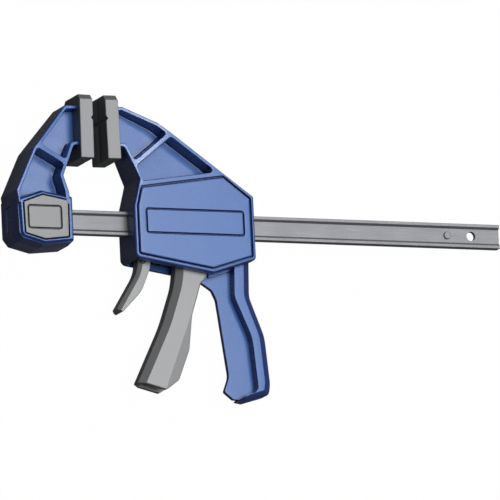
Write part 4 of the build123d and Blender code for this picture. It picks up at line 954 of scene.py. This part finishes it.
def along_grip(front, rear, section, ends):
    """Closed section carried along a grip. Station k stands on the line from front[k] to rear[k];
    its section lies in the plane of that line and Z: point = front + a * unit(rear - front) + z.
    At both ends the section shrinks over a quarter circle of radius ends and is closed by a flat
    field."""
    across = rear - front
    depth = np.linalg.norm(across, axis=1)
    across = across / depth[:, None]
    last = len(front) - 1
    # each row: its station, the inset of its section, and its shift along the front
    turn = np.linspace(0, pi / 2, 4)
    plan = [(0, ends * (1 - sin(a)), ends * (1 - cos(a))) for a in turn]
    plan += [(k, 0.0, 0.0) for k in range(1, last)]
    plan += [(last, ends * (1 - cos(a)), -ends * (1 - sin(a))) for a in turn]
    rows, caps = [], []
    for k, inset, shift in plan:
        tangent = front[min(k + 1, last)] - front[max(k - 1, 0)]
        origin = front[k] + tangent / np.linalg.norm(tangent) * shift
        loop = section(k, depth[k], inset)
        rows.append(np.concatenate([origin + loop[:, :1] * across[k], loop[:, 1:]], 1))
        caps.append((loop, origin, across[k]))
    patches = [sheet(rows)]
    for loop, origin, direction in (caps[0], caps[-1]):
        points, faces = fill(0.0, loop)
        place = origin + points[:, :1] * direction
        patches.append((np.concatenate([place, points[:, 1:2]], 1), faces))
    return patches


def make_lever():
    """Squeeze lever: a channel with bevelled front edges and, low down, facets that fall away to
    the rear; its upper end forks round the bar and turns on the pin."""
    front, rear = open_line(LEVER_FRONT, 64), open_line(LEVER_REAR, 64)
    start, end = (np.array(p) for p in FACET_LINE)
    run = (end - start) / np.linalg.norm(end - start)
    normal = np.array([-run[1], run[0]])
    bevel = LEVER_HALF - LEVER_FACE
    parts = [3, 3, 5, 4, 2, 5, 4, 5, 2, 4, 5, 3]     # of each side of the section

    def section(k, depth, inset):
        across = (rear[k] - front[k]) / depth
        reach = np.dot(start - front[k], normal) / np.dot(across, normal)
        rearmost = depth - LEVER_REAR_EDGE
        facet = min(max(reach, bevel + 1.0), rearmost)
        half = LEVER_HALF
        if reach < rearmost:
            half -= FACET_FALL * max(depth - facet, 0.0) * abs(np.dot(across, normal))
        corners = [(0.0, -LEVER_FACE, 1.0), (0.0, LEVER_FACE, 1.0), (bevel, LEVER_HALF, 1.0),
                   (facet, LEVER_HALF, 0.8), (depth, half, 1.1), (depth, LEVER_INNER, 0.4),
                   (LEVER_WALL, LEVER_INNER, 0.8), (LEVER_WALL, -LEVER_INNER, 0.8),
                   (depth, -LEVER_INNER, 0.4), (depth, -half, 1.1), (facet, -LEVER_HALF, 0.8),
                   (bevel, -LEVER_HALF, 1.0)]
        return ring(corners, inset, arc=4, parts=parts)

    patches = along_grip(front, rear, section, 0.8)
    fork = [(50.5, 22.0, 3.0), (44.5, 2.0, 8.0), (40.2, -26.0, 0), (61.4, -26.0, 0),
            (63.3, -16.5, 0), (63.9, -14.5, 2.0), (61.4, -6.5, 1.0), (61.0, 22.0, 4.0)]
    for side in (1, -1):
        low, high = sorted((side * LEVER_INNER, side * LEVER_HALF))
        patches += block(fork, low, high, 0.5)
        eye = [(3.05, low), (7.0, low), (7.5, low + 0.4), (7.5, high - 0.4), (7.0, high),
               (3.05, high), (3.05, low)]
        patches.append(turned(*LEVER_PIN, eye))
    piece = build("lever_grip", patches, AT_HOUSING)
    finished(piece, GREY_NYLON, "lever_grey", "lever", "drive_lever")


TRIGGER_FRONT = [(7.2, -19.0, 0), (6.0, -39.0, 30.0), (-13.4, -70.2, 0)]
TRIGGER_REAR = [(16.6, -19.0, 0), (16.6, -35.0, 30.0), (7.7, -55.6, 25.0), (-9.2, -73.0, 0)]
TRIGGER_HALF = 8.0
TRIGGER_FACE = 5.0        # half width of the front face, between its bevels


def make_trigger():
    """Release trigger: a solid curved finger with bevelled front edges."""
    front, rear = open_line(TRIGGER_FRONT, 40), open_line(TRIGGER_REAR, 40)

    def section(k, depth, inset):
        bevel = min(TRIGGER_HALF - TRIGGER_FACE, depth * 0.55)
        corners = [(0.0, -TRIGGER_FACE, 0.8), (0.0, TRIGGER_FACE, 0.8),
                   (bevel, TRIGGER_HALF, 0.8), (depth, TRIGGER_HALF, 0.7),
                   (depth, -TRIGGER_HALF, 0.7), (bevel, -TRIGGER_HALF, 0.8)]
        return ring(corners, inset, arc=4, parts=[3, 3, 3, 5, 3, 3])

    patches = along_grip(front, rear, section, 0.7)
    piece = build("trigger_finger", patches, AT_HOUSING)
    finished(piece, GREY_NYLON, "lever_grey", "trigger", "release_trigger")


make_lever()
make_trigger()
